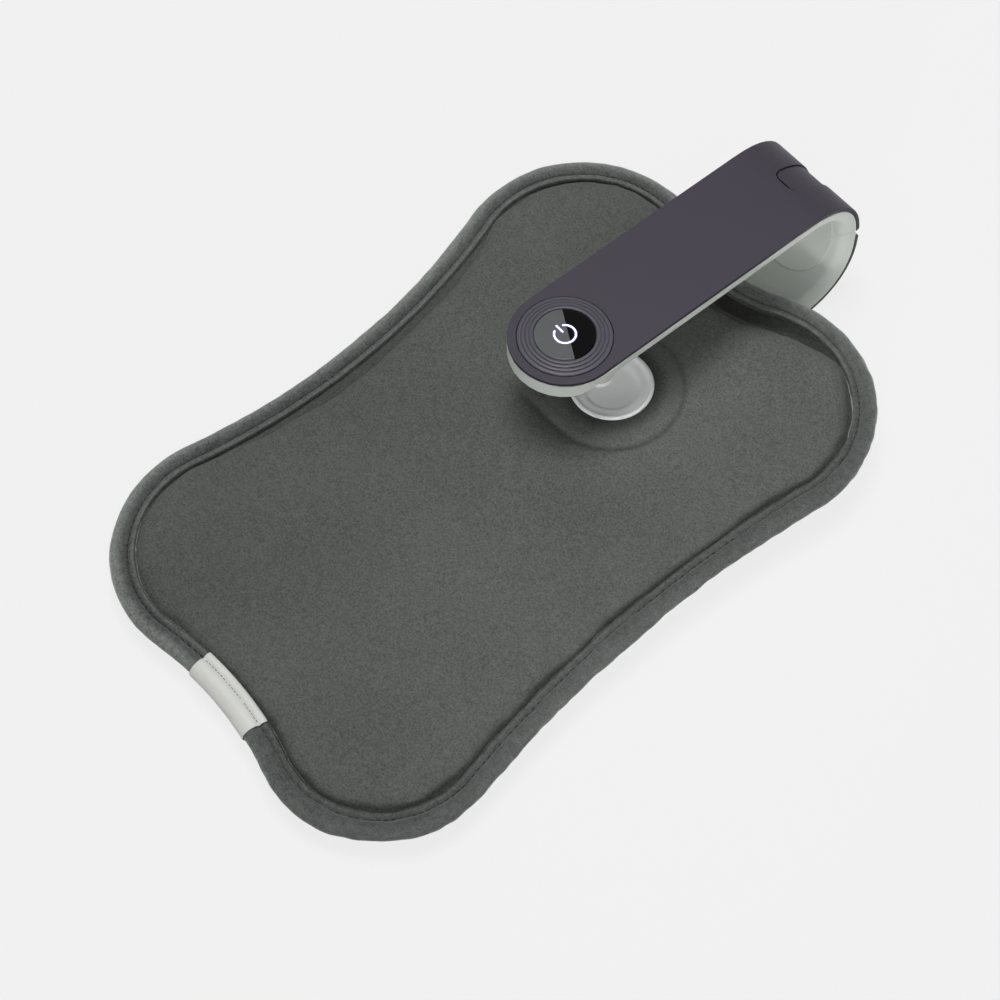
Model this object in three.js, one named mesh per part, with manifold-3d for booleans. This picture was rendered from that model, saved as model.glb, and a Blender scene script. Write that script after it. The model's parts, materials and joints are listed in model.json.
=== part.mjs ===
// An electric hot water bottle: a flat velvet-covered bag with a round charging port,
// and the hairpin clip that charges it, shown clipped over the bag's short edge.
// Millimetres, +Z up. The origin is on the table under the middle of the bag.
// +Y runs along the clip from the bag towards the clip's bend, +X to the bag's right.

import * as THREE from 'three';
import { mergeVertices } from 'three/addons/utils/BufferGeometryUtils.js';
import Module from 'manifold-3d';

const wasm = await Module();
wasm.setup();

// Clearances and cutting
const gap = 0.3;
const overrun = 5;

// Bag outline
const bagLength = 276;
const bagWidth = 192.6;
const seamHeightLabelEnd = 10;
const seamHeightClipEnd = 20;

// Lobes of the outline, counter-clockwise from the right-hand lobe at the clip end.
// Places and radii are shares of half the length and half the width.
// Each arch share is the radius of the hollow arc that follows the lobe.
const lobeShares = [
  { across: 0.361, along: 0.630, radius: 0.538, arch: 0.33 },
  { across: -0.515, along: 0.623, radius: 0.506, arch: 1.95 },
  { across: -0.385, along: -0.622, radius: 0.506, arch: 1.014 },
  { across: 0.510, along: -0.667, radius: 0.470, arch: 3.43 },
];
const labelEndLobe = 2;
const lobeSteps = 8;
const archSteps = 6;

// Cover: flange, drawn-in slope and crown
const fabricThickness = 1.4;
const flangeWidth = 10;
const flangeInset = 2.6;
const slopeWidth = 15;
const topCrown = 6;
const bottomCrown = 17;
const topSlopeShares = [[0, 0], [0.28, 0.3], [0.55, 0.72], [1, 0.88]];
const bottomSlopeShares = [[0, 0], [0.28, 0.36], [0.55, 0.6], [1, 0.8]];
const crownShares = [[0.8, 0.96], [0.55, 1], [0.28, 1]];
const restStart = 6;
const restEnd = 27;

// Edge binding: a folded strip that grips both flanges
const bindingWidth = 7.6;
const bindingHeight = 6.6;
const bindingWall = 1.3;

// Side label folded over the binding
const labelThickness = 0.5;
const labelWidth = 9.4;
const labelStartShare = 0.27;
const labelEndShare = 0.77;

// Water bladder
const bladderWall = 1;
const bladderRimInset = 13;
const bladderSlack = 0.85;

// Charging port
const portX = 0.5;
const portY = 56;
const portRimRadius = 16.1;
const portRimWidth = 1.6;
const portRimHeight = 1.2;
const portRimChamfer = 0.35;
const bowlDepth = 2.4;
const bowlWall = 1;
const bowlShares = [[0, 1], [0.48, 0.96], [0.72, 0.8], [0.9, 0.42], [1, 0]];
const neckRadius = 10;
const neckWall = 1.8;
const neckDepth = 9.8;
const fabricHoleLap = 1.5;
const portPadRadius = 28;
const portPadLap = 1.5;
const portPadRise = 0.1;
const islandRadius = 6;
const islandOffset = 7.1;
const contactPadRadius = 1.8;
const contactPadThickness = 0.6;
const contactRodRadius = 0.8;
const contactInset = 1.9;
const contactSpread = 3;
const roundSides = 32;
const smallSides = 16;

// Port fastening
const gasketThickness = 1.1;
const gasketWidth = 2.6;
const nutThickness = 2.3;
const nutWidth = 2.9;
const nutSides = 12;

// Heater
const cageRadius = 25;
const cageWall = 1.2;
const cageHubWall = 1.7;
const cageHubHeight = 1.4;
const cageSlots = 8;
const cageSlotWidth = 6;
const cageSlotHeight = 2.2;
const lidHoles = 8;
const lidHoleRadius = 2.2;
const elementRadius = 19;
const elementTubeRadius = 1.1;
const elementGapAngle = 0.28;
const elementSteps = 28;
const tubeSides = 8;
const stripThickness = 0.6;
const stripWidth = 2.4;
const thermostatRadius = 4.6;
const thermostatHeight = 3;
const thermostatX = 2.2;
const fuseRadius = 1.1;
const fuseLength = 9;

// Clip: a hairpin with a rounded bend, seen from the side
const clipX = -7.7;
const buttonY = 39.7;
const clipWidth = 41.5;
const clipHeight = 60.1;
const footProud = 0.5;
const armReach = 100.2;
const bendDepth = 28.6;
const bendPower = 2.39;
const bendSteps = 22;
const armThickness = 8;
const coverThickness = 1.5;
const trayWall = 1.6;
const traySideWall = 2;
const linerEdge = 4;
const linerEdgeSteps = 3;
const lowerSetback = 10;

// Hinge at the back of the bend
const hingeRise = 2.25;
const hingeInset = 4.8;
const knuckleRadius = 3.2;
const pinRadius = 1.25;
const pinRecess = 2;
const centreKnuckleHalf = 8;
const springRoom = 4.2;
const wedgeHalfAngle = 0.46;
const hingeSolid = 7;
const springCoilRadius = 2.3;
const springWireRadius = 0.35;
const springTurns = 4;
const springSteps = 8;
const springSides = 5;

// Guard plate over the inner side of the hinge
const guardHalfWidth = 15;
const guardThickness = 0.8;
const guardStart = 7.7;
const guardRise = 6.7;

// Power button
const buttonRadius = 17.2;
const buttonFlange = 1;
const buttonFlangeHeight = 0.9;
const buttonSkirtWall = 1.6;
const buttonPlate = 1.3;
const buttonLip = 0.1;
const buttonStep = 0.35;
const buttonRingRadii = [12.7, 14.1, 15.5];
const buttonTravel = 0.8;
const windowRadius = 11.4;
const windowThickness = 0.9;
const windowRise = 0.1;
const guideRadius = 4.4;
const guideDrop = 1.4;

// Electronics in the upper arm
const boardThickness = 1.2;
const boardHalfWidth = 16.5;
const boardEnd = 62;
const ledSize = 3.2;
const ledHeight = 0.8;
const switchSize = 4.4;
const switchHeight = 1.5;
const switchPlungerRadius = 1;
const switchX = 8.6;
const returnCoilRadius = 12.8;
const returnWireRadius = 0.4;
const returnTurns = 2.5;
const returnSteps = 14;
const wireRadius = 0.8;
const wireX = 3;
const wireInset = 4.2;
const wireTurnShares = [0.5, 0.8, 1];
const wireSteps = 14;

// Contact post under the upper arm
const postTopRadius = 8.5;
const postStraight = 5;
const postFlangeRadius = 10.5;
const postFlangeHeight = 2;
const postSpigotRadius = 5.7;
const contactPinRadius = 0.9;

// Power inlet in the back of the bend
const inletHalfWidth = 6;
const inletTopReach = 6;
const inletCorner = 3.5;
const inletLap = 1.3;
const inletSunk = 0.6;
const inletSlit = 0.9;
const inletBodyHalfWidth = 7.2;
const inletLidThickness = 0.9;
const inletBodyDepth = 17.3;
const inletBodyHeight = 10;
const socketHalfWidth = 4.7;
const socketHeight = 5;
const socketDepth = 10;
const inletPinRadius = 1;
const inletPinX = 2.3;
const inletPinLength = 6.5;
const inletPinRoot = 1.6;

// Screws, pads and feet
const screwHeadRadius = 2.6;
const screwHeadHeight = 1.6;
const screwShankRadius = 1.1;
const screwBossWall = 1.6;
const upperScrewX = 11.5;
const upperScrewY = 84;
const lowerScrewFrontY = 31;
const lowerScrewRearY = 92;
const footRadius = 7;
const footRecess = 0.8;
const gripRadius = 13;
const gripRecess = 0.8;
const gripProud = 0.3;

// Materials
const velvet = finish(0x55585a, 1, 0);
const bindingVelvet = finish(0x4d5052, 1, 0);
const satin = finish(0xc4c6c4, 0.6, 0);
const bladderFilm = finish(0x8d2f2a, 0.6, 0);
const portPlastic = finish(0xc2c6c8, 0.35, 0);
const sealRubber = finish(0x2b2b2b, 0.9, 0);
const cagePlastic = finish(0xe2ddcf, 0.5, 0);
const steel = finish(0xb9bcc0, 0.3, 1);
const brass = finish(0xc7a14a, 0.3, 1);
const coverPlastic = finish(0x4a4652, 0.5, 0);
const linerPlastic = finish(0xa8aea8, 0.5, 0);
const windowGlass = finish(0x1a1a1d, 0.1, 0);
const clearPlastic = finish(0xe8ecf0, 0.2, 0);
const boardGreen = finish(0x1e5a38, 0.6, 0);
const switchBlack = finish(0x1d1d1f, 0.5, 0);
const wireInsulation = finish(0x8a2020, 0.6, 0);

function finish(color, roughness, metalness) {
  return new THREE.MeshStandardMaterial({ color, roughness, metalness });
}

// Solids

function toSolid(source) {
  const geometry = source.clone();
  for (const name of Object.keys(geometry.attributes)) {
    if (name !== 'position') geometry.deleteAttribute(name);
  }
  const merged = mergeVertices(geometry);
  const index = merged.getIndex().array;
  const kept = [];
  for (let i = 0; i < index.length; i += 3) {
    const [a, b, c] = [index[i], index[i + 1], index[i + 2]];
    if (a !== b && b !== c && c !== a) kept.push(a, b, c);
  }
  const vertProperties = new Float32Array(merged.getAttribute('position').array);
  if (signedVolume(vertProperties, kept) < 0) kept.reverse();
  return new wasm.Manifold(new wasm.Mesh({ numProp: 3, vertProperties, triVerts: new Uint32Array(kept) }));
}

function signedVolume(points, triangles) {
  const corner = (i) => new THREE.Vector3().fromArray(points, 3 * i);
  let sum = 0;
  for (let i = 0; i < triangles.length; i += 3) {
    const [a, b, c] = [corner(triangles[i]), corner(triangles[i + 1]), corner(triangles[i + 2])];
    sum += a.dot(b.cross(c));
  }
  return sum;
}

function toGeometry(solid) {
  const mesh = solid.getMesh();
  const geometry = new THREE.BufferGeometry();
  const positions = new Float32Array(mesh.vertProperties);
  geometry.setAttribute('position', new THREE.BufferAttribute(positions, mesh.numProp));
  geometry.setIndex(new THREE.BufferAttribute(new Uint32Array(mesh.triVerts), 1));
  geometry.computeVertexNormals();
  return geometry;
}

function block(low, high) {
  const size = high.map((value, i) => value - low[i]);
  const middle = high.map((value, i) => (value + low[i]) / 2);
  return toSolid(new THREE.BoxGeometry(...size).translate(...middle));
}

function rod(from, to, radius, sides = smallSides, endRadius = radius) {
  const start = new THREE.Vector3(...from);
  const along = new THREE.Vector3(...to).sub(start);
  const geometry = new THREE.CylinderGeometry(endRadius, radius, along.length(), sides);
  const upright = new THREE.Vector3(0, 1, 0);
  geometry.applyQuaternion(new THREE.Quaternion().setFromUnitVectors(upright, along.clone().normalize()));
  return toSolid(geometry.translate(...start.addScaledVector(along, 1 / 2).toArray()));
}

// A turned piece: the profile is a list of [radius, height], and x and y place its axis.
function turned(profile, x, y, sides = roundSides) {
  const closed = profile.map(([radius, height]) => new THREE.Vector2(radius, height));
  const onAxis = profile[0][0] === 0 && profile[profile.length - 1][0] === 0;
  if (!onAxis) closed.push(closed[0].clone());
  return toSolid(new THREE.LatheGeometry(closed, sides).rotateX(Math.PI / 2).translate(x, y, 0));
}

function ring(innerRadius, outerRadius, bottom, top, x, y, sides = roundSides) {
  const profile = [[innerRadius, bottom], [outerRadius, bottom], [outerRadius, top], [innerRadius, top]];
  return turned(profile, x, y, sides);
}

function prism(points, bottom, top) {
  const shape = new THREE.Shape(points.map(([x, y]) => new THREE.Vector2(x, y)));
  const geometry = new THREE.ExtrudeGeometry(shape, { depth: top - bottom, bevelEnabled: false });
  return toSolid(geometry.translate(0, 0, bottom));
}

// A round tube along a curve, with closed ends.
function tube(curve, radius, sides, steps) {
  const section = new THREE.Shape();
  section.absarc(0, 0, radius, 0, 2 * Math.PI);
  const outline = new THREE.Shape(section.getSpacedPoints(sides).slice(0, sides));
  return toSolid(new THREE.ExtrudeGeometry(outline, { steps, bevelEnabled: false, extrudePath: curve }));
}

class Helix extends THREE.Curve {
  constructor(radius, length, turns, place) {
    super();
    Object.assign(this, { radius, length, turns, place });
  }

  getPoint(share, target = new THREE.Vector3()) {
    const angle = share * this.turns * 2 * Math.PI;
    const along = share * this.length;
    return target.copy(this.place(this.radius * Math.cos(angle), this.radius * Math.sin(angle), along));
  }
}

// Bag outline: lobes joined by hollow arcs that touch them

const halfLength = bagLength / 2;
const halfWidth = bagWidth / 2;

function bagArcs() {
  const lobes = lobeShares.map((share) => ({
    centre: new THREE.Vector2(share.across * halfWidth, share.along * halfLength),
    radius: share.radius * halfWidth,
    arch: share.arch * halfLength,
  }));
  const arches = lobes.map((lobe, i) => {
    const next = lobes[(i + 1) % lobes.length];
    const chord = next.centre.clone().sub(lobe.centre);
    const reach = lobe.radius + lobe.arch;
    const nextReach = next.radius + lobe.arch;
    const along = (chord.lengthSq() + reach ** 2 - nextReach ** 2) / (2 * chord.length());
    const out = Math.sqrt(reach ** 2 - along ** 2);
    const unit = chord.normalize();
    const outward = new THREE.Vector2(unit.y, -unit.x).multiplyScalar(out);
    return lobe.centre.clone().addScaledVector(unit, along).add(outward);
  });
  return lobes.flatMap((lobe, i) => {
    const before = arches[(i + lobes.length - 1) % lobes.length];
    const after = arches[i];
    const next = lobes[(i + 1) % lobes.length];
    return [
      sweep(lobe.centre, lobe.radius, -1, angleTo(lobe.centre, before), angleTo(lobe.centre, after), 1),
      sweep(after, lobe.arch, 1, angleTo(after, lobe.centre), angleTo(after, next.centre), -1),
    ];
  });
}

function angleTo(from, to) {
  return Math.atan2(to.y - from.y, to.x - from.x);
}

// One arc of the outline. An inset shrinks a lobe and widens a hollow arc.
function sweep(centre, radius, insetSign, start, end, way) {
  const full = 2 * Math.PI;
  const turn = ((((end - start) * way) % full) + full) % full;
  return (share, inset) => {
    const angle = start + way * turn * share;
    const reach = radius + insetSign * inset;
    return new THREE.Vector2(centre.x + reach * Math.cos(angle), centre.y + reach * Math.sin(angle));
  };
}

const outlineArcs = bagArcs();

function outline(inset, scale = 1) {
  return outlineArcs.flatMap((arc, i) => {
    const isLobe = i % 2 === 0;
    const steps = isLobe ? lobeSteps : archSteps;
    const count = isLobe ? steps + 1 : steps - 1;
    const first = isLobe ? 0 : 1;
    return Array.from({ length: count }, (_, k) => arc((k + first) / steps, inset).multiplyScalar(scale));
  });
}

// Heights of the bag

const seamSlope = (seamHeightClipEnd - seamHeightLabelEnd) / bagLength;
const seamMiddle = (seamHeightClipEnd + seamHeightLabelEnd) / 2;
const jawTop = footProud + armThickness;
const bagOnJaw = jawTop + gripProud + gap;

function seamAt(y) {
  return seamMiddle + seamSlope * y;
}

// The room above what the bag lies on: the table, then the clip's lower arm, both raised by a lift.
function aboveRest(lift) {
  const start = -bagLength;
  const end = bagLength;
  const high = bagLength;
  const points = [[start, lift], [restStart, lift], [restEnd, bagOnJaw + lift], [end, bagOnJaw + lift]];
  return acrossClip([...points, [end, high], [start, high]], bagWidth);
}

// How far a slope has risen at an inset, as a share of the crown.
function riseAt(slopeShares, inset) {
  const share = (inset - flangeWidth) / slopeWidth;
  const next = slopeShares.findIndex(([across]) => across > share);
  if (share <= 0 || next < 1) return share <= 0 ? 0 : slopeShares[slopeShares.length - 1][1];
  const [[fromShare, fromRise], [toShare, toRise]] = [slopeShares[next - 1], slopeShares[next]];
  return fromRise + ((toRise - fromRise) * (share - fromShare)) / (toShare - fromShare);
}

// Rows of a panel's surface, from its edge to its middle. Each row is a ring of points.
function panelRows(firstInset, slopeShares, crown, height) {
  const hasFlange = firstInset < flangeWidth;
  const start = hasFlange ? [firstInset, flangeWidth] : [firstInset];
  const first = start.map((inset) => ({ inset, scale: 1, rise: riseAt(slopeShares, inset) }));
  const slope = slopeShares.slice(1)
    .map(([share, rise]) => ({ inset: flangeWidth + share * slopeWidth, scale: 1, rise }));
  const middle = crownShares.map(([scale, rise]) => ({ inset: flangeWidth + slopeWidth, scale, rise }));
  const rows = [...first, ...slope.filter((row) => row.inset > firstInset), ...middle];
  const placed = rows.map((row) => outline(row.inset, row.scale)
    .map((point) => new THREE.Vector3(point.x, point.y, height(row.rise * crown, point.y))));
  return { placed, centre: new THREE.Vector3(0, 0, height(crown, 0)) };
}

// A closed solid between an upper and a lower surface, each given as rows and a centre.
function layered(upper, lower) {
  const ringSize = upper.placed[0].length;
  const points = [...upper.placed.flat(), upper.centre, ...lower.placed.flat(), lower.centre];
  const lowerStart = upper.placed.length * ringSize + 1;
  const triangles = [];
  const skin = (start, rowCount, flip) => {
    const add = (a, b, c) => triangles.push(...(flip ? [a, c, b] : [a, b, c]));
    for (let row = 0; row < rowCount; row += 1) {
      for (let i = 0; i < ringSize; i += 1) {
        const j = (i + 1) % ringSize;
        const here = start + row * ringSize;
        if (row === rowCount - 1) {
          add(here + i, here + j, start + rowCount * ringSize);
        } else {
          add(here + i, here + j, here + ringSize + j);
          add(here + i, here + ringSize + j, here + ringSize + i);
        }
      }
    }
  };
  skin(0, upper.placed.length, false);
  skin(lowerStart, lower.placed.length, true);
  for (let i = 0; i < ringSize; i += 1) {
    const j = (i + 1) % ringSize;
    triangles.push(i, lowerStart + i, lowerStart + j, i, lowerStart + j, j);
  }
  return solidOf(points, triangles);
}

function solidOf(points, triangles) {
  const geometry = new THREE.BufferGeometry().setFromPoints(points);
  geometry.setIndex(triangles);
  return toSolid(geometry);
}

// A closed loop of a section: rows of rings, the last joined to the first.
function loopOf(rows, closedRing) {
  const ringSize = rows[0].length;
  const points = rows.flat();
  const triangles = [];
  const last = closedRing ? ringSize : ringSize - 1;
  rows.forEach((_, row) => {
    const here = row * ringSize;
    const next = ((row + 1) % rows.length) * ringSize;
    for (let i = 0; i < last; i += 1) {
      const j = (i + 1) % ringSize;
      triangles.push(here + i, here + j, next + j, here + i, next + j, next + i);
    }
  });
  if (!closedRing) {
    for (let row = 1; row < rows.length - 1; row += 1) {
      triangles.push(0, row * ringSize, (row + 1) * ringSize);
      triangles.push(last, (row + 1) * ringSize + last, row * ringSize + last);
    }
  }
  return solidOf(points, triangles);
}

// Bag cover

const flangeTop = gap / 2 + fabricThickness;
const fabricTopAt = (rise, y) => seamAt(y) + flangeTop + Math.max(rise - flangeTop, 0);
const fabricBottomAt = (rise, y) => seamAt(y) - Math.max(rise, flangeTop);
const portFabricTop = fabricTopAt(topCrown, portY) + portPadRise;

function coverTopPanel() {
  const upper = panelRows(flangeInset, topSlopeShares, topCrown, fabricTopAt);
  const under = (rise, y) => fabricTopAt(rise, y) - fabricThickness;
  const lower = panelRows(flangeInset, topSlopeShares, topCrown, under);
  const high = portFabricTop + overrun;
  const padBottom = portFabricTop - fabricThickness;
  const padTop = [portX, portY, portFabricTop];
  const pad = rod([portX, portY, padBottom], padTop, portPadRadius + portPadLap, roundSides);
  const holeRadius = portRimRadius - fabricHoleLap;
  return layered(upper, lower)
    .subtract(rod([portX, portY, 0], [portX, portY, high], portPadRadius, roundSides))
    .add(pad)
    .subtract(rod([portX, portY, 0], [portX, portY, high], holeRadius, roundSides));
}

function coverBottomPanel() {
  const seamSide = (lift) => (rise, y) => seamAt(y) - gap / 2 + lift;
  const rows = (inset, height) => panelRows(inset, bottomSlopeShares, bottomCrown, height);
  const outside = layered(rows(flangeInset, seamSide(0)), rows(flangeInset, fabricBottomAt));
  const innerAt = (rise, y) => fabricBottomAt(rise, y) + fabricThickness;
  const start = flangeWidth + fabricThickness;
  const inside = layered(rows(start, seamSide(overrun)), rows(start, innerAt));
  return outside.intersect(aboveRest(0)).subtract(inside.intersect(aboveRest(fabricThickness)));
}

// The binding's section is a C, open towards the bag, in [inset, height] from the seam.
function bindingSection() {
  const high = bindingHeight / 2;
  const slot = flangeTop + gap;
  const slotEnd = flangeInset - gap;
  const shoulderShares = [[1, 0.78], [0.78, 1], [0.4, 1], [0.12, 0.66]];
  const top = shoulderShares.map(([across, up]) => [across * bindingWidth, up * high]);
  const bottom = top.slice().reverse().map(([inset, height]) => [inset, -height]);
  const slotCorners = [[bindingWidth, -slot], [slotEnd, -slot], [slotEnd, slot]];
  return [[bindingWidth, slot], ...top, [0, 0], ...bottom, ...slotCorners];
}

function edgeBinding() {
  const rows = bindingSection().map(([inset, height]) => outline(inset)
    .map((point) => new THREE.Vector3(point.x, point.y, seamAt(point.y) + height)));
  return loopOf(rows, true);
}

function sideLabel() {
  const arch = outlineArcs[2 * labelEndLobe + 1];
  const near = bindingHeight / 2 + gap;
  const far = near + labelThickness;
  const fold = -gap - labelThickness;
  const outer = [[labelWidth, far], [fold, far], [fold, -far], [labelWidth, -far]];
  const inner = [[labelWidth, -near], [-gap, -near], [-gap, near], [labelWidth, near]];
  // The label bends where the binding does.
  const places = Array.from({ length: archSteps + 1 }, (_, i) => i / archSteps);
  const bends = places.filter((share) => share > labelStartShare && share < labelEndShare);
  const shares = [labelStartShare, ...bends, labelEndShare];
  const rows = [...outer, ...inner].map(([inset, height]) => shares.map((share) => {
    const point = arch(share, inset);
    return new THREE.Vector3(point.x, point.y, seamAt(point.y) + height);
  }));
  return loopOf(rows, false);
}

// Water bladder

const bladderTopAt = (rise, y) => {
  const slack = bladderSlack * (rise / topCrown);
  return fabricTopAt(rise, y) - fabricThickness - gap - slack;
};
const bladderBottomAt = (rise, y) => fabricBottomAt(rise, y) + fabricThickness + gap;

function waterBladder() {
  const inner = bladderRimInset + 2 * bladderWall;
  const outside = layered(
    panelRows(bladderRimInset, topSlopeShares, topCrown, bladderTopAt),
    panelRows(bladderRimInset, bottomSlopeShares, bottomCrown, bladderBottomAt),
  );
  const inside = layered(
    panelRows(inner, topSlopeShares, topCrown, (rise, y) => bladderTopAt(rise, y) - bladderWall),
    panelRows(inner, bottomSlopeShares, bottomCrown, (rise, y) => bladderBottomAt(rise, y) + bladderWall),
  );
  const holeTop = [portX, portY, portFabricTop + overrun];
  const hole = rod([portX, portY, seamAt(portY)], holeTop, neckRadius + gap, roundSides);
  const skin = fabricThickness + gap;
  const room = inside.intersect(aboveRest(skin + bladderWall));
  return outside.intersect(aboveRest(skin)).subtract(room).subtract(hole);
}

// Charging port

const rimTop = portFabricTop + gap + portRimHeight;
const bowlRadius = portRimRadius - portRimWidth;
const padUnder = bladderTopAt(topCrown, portY + bowlRadius) + gap;
const neckBottom = rimTop - neckDepth;
const islandX = portX - islandOffset;
const contactX = islandX + contactInset;
const contactPlaces = [portY - contactSpread, portY + contactSpread];
const bladderFloor = bagOnJaw + fabricThickness + gap + bladderWall;
const cageBottom = bladderFloor + gap;
const cageFloor = cageBottom + cageWall;
const stripBottom = cageFloor + gap;
const contactRodEnd = stripBottom + stripThickness + gap;

function portSocket() {
  const bowl = bowlShares.map(([across, down]) => [across * bowlRadius, rimTop - down * bowlDepth]);
  const rim = [
    [portRimRadius - portRimChamfer, rimTop],
    [portRimRadius, rimTop - portRimChamfer],
    [portRimRadius, rimTop - portRimHeight],
    [bowlRadius, rimTop - portRimHeight],
    [bowlRadius - bowlWall, padUnder],
  ];
  const neck = [
    [neckRadius, padUnder],
    [neckRadius, neckBottom],
    [neckRadius - neckWall, neckBottom],
    [neckRadius - neckWall, rimTop - bowlDepth - bowlWall],
    [0, rimTop - bowlDepth - bowlWall],
  ];
  const islandBottom = rimTop - bowlDepth - bowlWall / 2;
  const island = rod([islandX, portY, islandBottom], [islandX, portY, rimTop], islandRadius, roundSides);
  const body = turned([...bowl, ...rim, ...neck], portX, portY).add(island);
  const seat = rimTop - contactPadThickness - gap;
  const above = rimTop + overrun;
  return contactPlaces.reduce((solid, y) => solid
    .subtract(rod([contactX, y, neckBottom], [contactX, y, above], contactRodRadius + gap))
    .subtract(rod([contactX, y, seat], [contactX, y, above], contactPadRadius + gap)), body);
}

function portContact(y) {
  const pad = rod([contactX, y, rimTop - contactPadThickness], [contactX, y, rimTop], contactPadRadius);
  const rodTop = rimTop - contactPadThickness / 2;
  return pad.add(rod([contactX, y, contactRodEnd], [contactX, y, rodTop], contactRodRadius));
}

// Port fastening

const bladderUnderPort = bladderTopAt(topCrown, portY - neckRadius - gasketWidth) - bladderWall;
const gasketTop = bladderUnderPort - gap;
const nutTop = gasketTop - gasketThickness - gap;
const nutBottom = nutTop - nutThickness;

function portGasket() {
  const inner = neckRadius + gap;
  return ring(inner, inner + gasketWidth, gasketTop - gasketThickness, gasketTop, portX, portY);
}

function portLockNut() {
  const inner = neckRadius + gap;
  const body = rod([portX, portY, nutBottom], [portX, portY, nutTop], inner + nutWidth, nutSides);
  return body.subtract(rod([portX, portY, 0], [portX, portY, nutTop + overrun], inner, roundSides));
}

// Heater

const lidTop = bladderTopAt(topCrown, portY - cageRadius) - bladderWall - gap;
const lidBottom = lidTop - cageWall;
const elementHeight = (stripBottom + stripThickness + lidBottom) / 2;
const hubRadius = neckRadius + gap;
const hubTop = cageFloor + cageHubHeight;

function around(count, place) {
  return Array.from({ length: count }, (_, i) => place((2 * Math.PI * i) / count));
}

function heaterCageLower() {
  const wallTop = lidBottom - gap;
  const tray = turned([
    [0, cageBottom],
    [cageRadius, cageBottom],
    [cageRadius, wallTop],
    [cageRadius - cageWall, wallTop],
    [cageRadius - cageWall, cageFloor],
    [hubRadius + cageHubWall, cageFloor],
    [hubRadius + cageHubWall, hubTop],
    [hubRadius, hubTop],
    [hubRadius, cageFloor],
    [0, cageFloor],
  ], portX, portY);
  const slotBottom = cageFloor + cageWall / 2;
  const slots = around(cageSlots, (angle) => block(
    [hubRadius + 2 * cageHubWall, -cageSlotWidth / 2, slotBottom],
    [cageRadius + overrun, cageSlotWidth / 2, slotBottom + cageSlotHeight],
  ).rotate([0, 0, THREE.MathUtils.radToDeg(angle) + 180 / cageSlots]).translate([portX, portY, 0]));
  const notchHalf = contactSpread + stripWidth / 2 + gap;
  const notch = block(
    [portX - hubRadius - cageHubWall - gap, portY - notchHalf, cageFloor],
    [portX, portY + notchHalf, hubTop + gap],
  );
  return slots.reduce((solid, slot) => solid.subtract(slot), tray.subtract(notch));
}

function heaterCageUpper() {
  const inner = hubRadius + nutWidth + 2 * gap;
  const middle = (inner + cageRadius) / 2;
  const lid = ring(inner, cageRadius, lidBottom, lidTop, portX, portY);
  const holes = around(lidHoles, (angle) => {
    const x = portX + middle * Math.cos(angle);
    const y = portY + middle * Math.sin(angle);
    return rod([x, y, lidBottom - overrun], [x, y, lidTop + overrun], lidHoleRadius);
  });
  return holes.reduce((solid, hole) => solid.subtract(hole), lid);
}

class ElementArc extends THREE.Curve {
  getPoint(share, target = new THREE.Vector3()) {
    const angle = Math.PI + elementGapAngle + share * (2 * Math.PI - 2 * elementGapAngle);
    const x = portX + elementRadius * Math.cos(angle);
    return target.set(x, portY + elementRadius * Math.sin(angle), elementHeight);
  }
}

function heatingElement() {
  return tube(new ElementArc(), elementTubeRadius, tubeSides, elementSteps);
}

// A strip from a contact's rod to the end of the element on that side.
function terminalStrip(side) {
  const inner = contactX + contactRodRadius;
  const outer = portX - elementRadius * Math.cos(elementGapAngle);
  const y = portY + side * contactSpread;
  const half = stripWidth / 2;
  return block([outer, y - half, stripBottom], [inner, y + half, stripBottom + stripThickness]);
}

function thermostat() {
  const x = portX + thermostatX;
  const top = stripBottom + thermostatHeight;
  return rod([x, portY, stripBottom], [x, portY, top], thermostatRadius, roundSides);
}

function thermalFuse() {
  const x = portX + (hubRadius + cageHubWall + elementRadius - elementTubeRadius) / 2;
  const z = cageFloor + gap + fuseRadius;
  return rod([x, portY - fuseLength / 2, z], [x, portY + fuseLength / 2, z], fuseRadius, tubeSides);
}

// Clip: side view of the hairpin, in its own frame. Y is 0 at the button and z is 0 under the lower cover.

const clipHalf = clipWidth / 2;
const backY = armReach + bendDepth;
const hingeY = backY - hingeInset;
const hingeHeight = clipHeight / 2 + hingeRise;
const inletTopY = armReach + inletTopReach;
const inletBodyFront = backY - inletBodyDepth;
const inletCentre = (hingeHeight + clipHeight) / 2;
const inletBodyLow = inletCentre - inletBodyHeight / 2;
const inletBodyHigh = inletCentre + inletBodyHeight / 2;
const inletBottom = inletBodyLow - inletLap;

function bendPoint(turn, inset) {
  const rounding = 2 / bendPower;
  const sine = Math.sin(turn) ** rounding;
  const cosine = Math.sign(Math.cos(turn)) * Math.abs(Math.cos(turn)) ** rounding;
  const outward = new THREE.Vector2(
    sine ** (bendPower - 1) / bendDepth,
    (Math.sign(cosine) * Math.abs(cosine) ** (bendPower - 1)) / (clipHeight / 2),
  ).normalize();
  const along = armReach + bendDepth * sine - inset * outward.x;
  return [along, (clipHeight / 2) * (1 + cosine) - inset * outward.y];
}

// The turn at which a line inside the bend comes down to a height.
function turnAt(height, inset) {
  let [low, high] = [0, Math.PI / 2];
  for (let i = 0; i < bendSteps; i += 1) {
    const middle = (low + high) / 2;
    if (bendPoint(middle, inset)[1] > height) low = middle;
    else high = middle;
  }
  return low;
}

// The hairpin's line at some depth below its outer surface, from the upper tip to the lower tip.
function hairpinLine(inset) {
  const tip = -clipHalf - overrun;
  const bend = Array.from({ length: bendSteps + 1 }, (_, i) => bendPoint((Math.PI * i) / bendSteps, inset));
  return [[tip, clipHeight - inset], ...bend, [tip, inset]];
}

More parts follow.
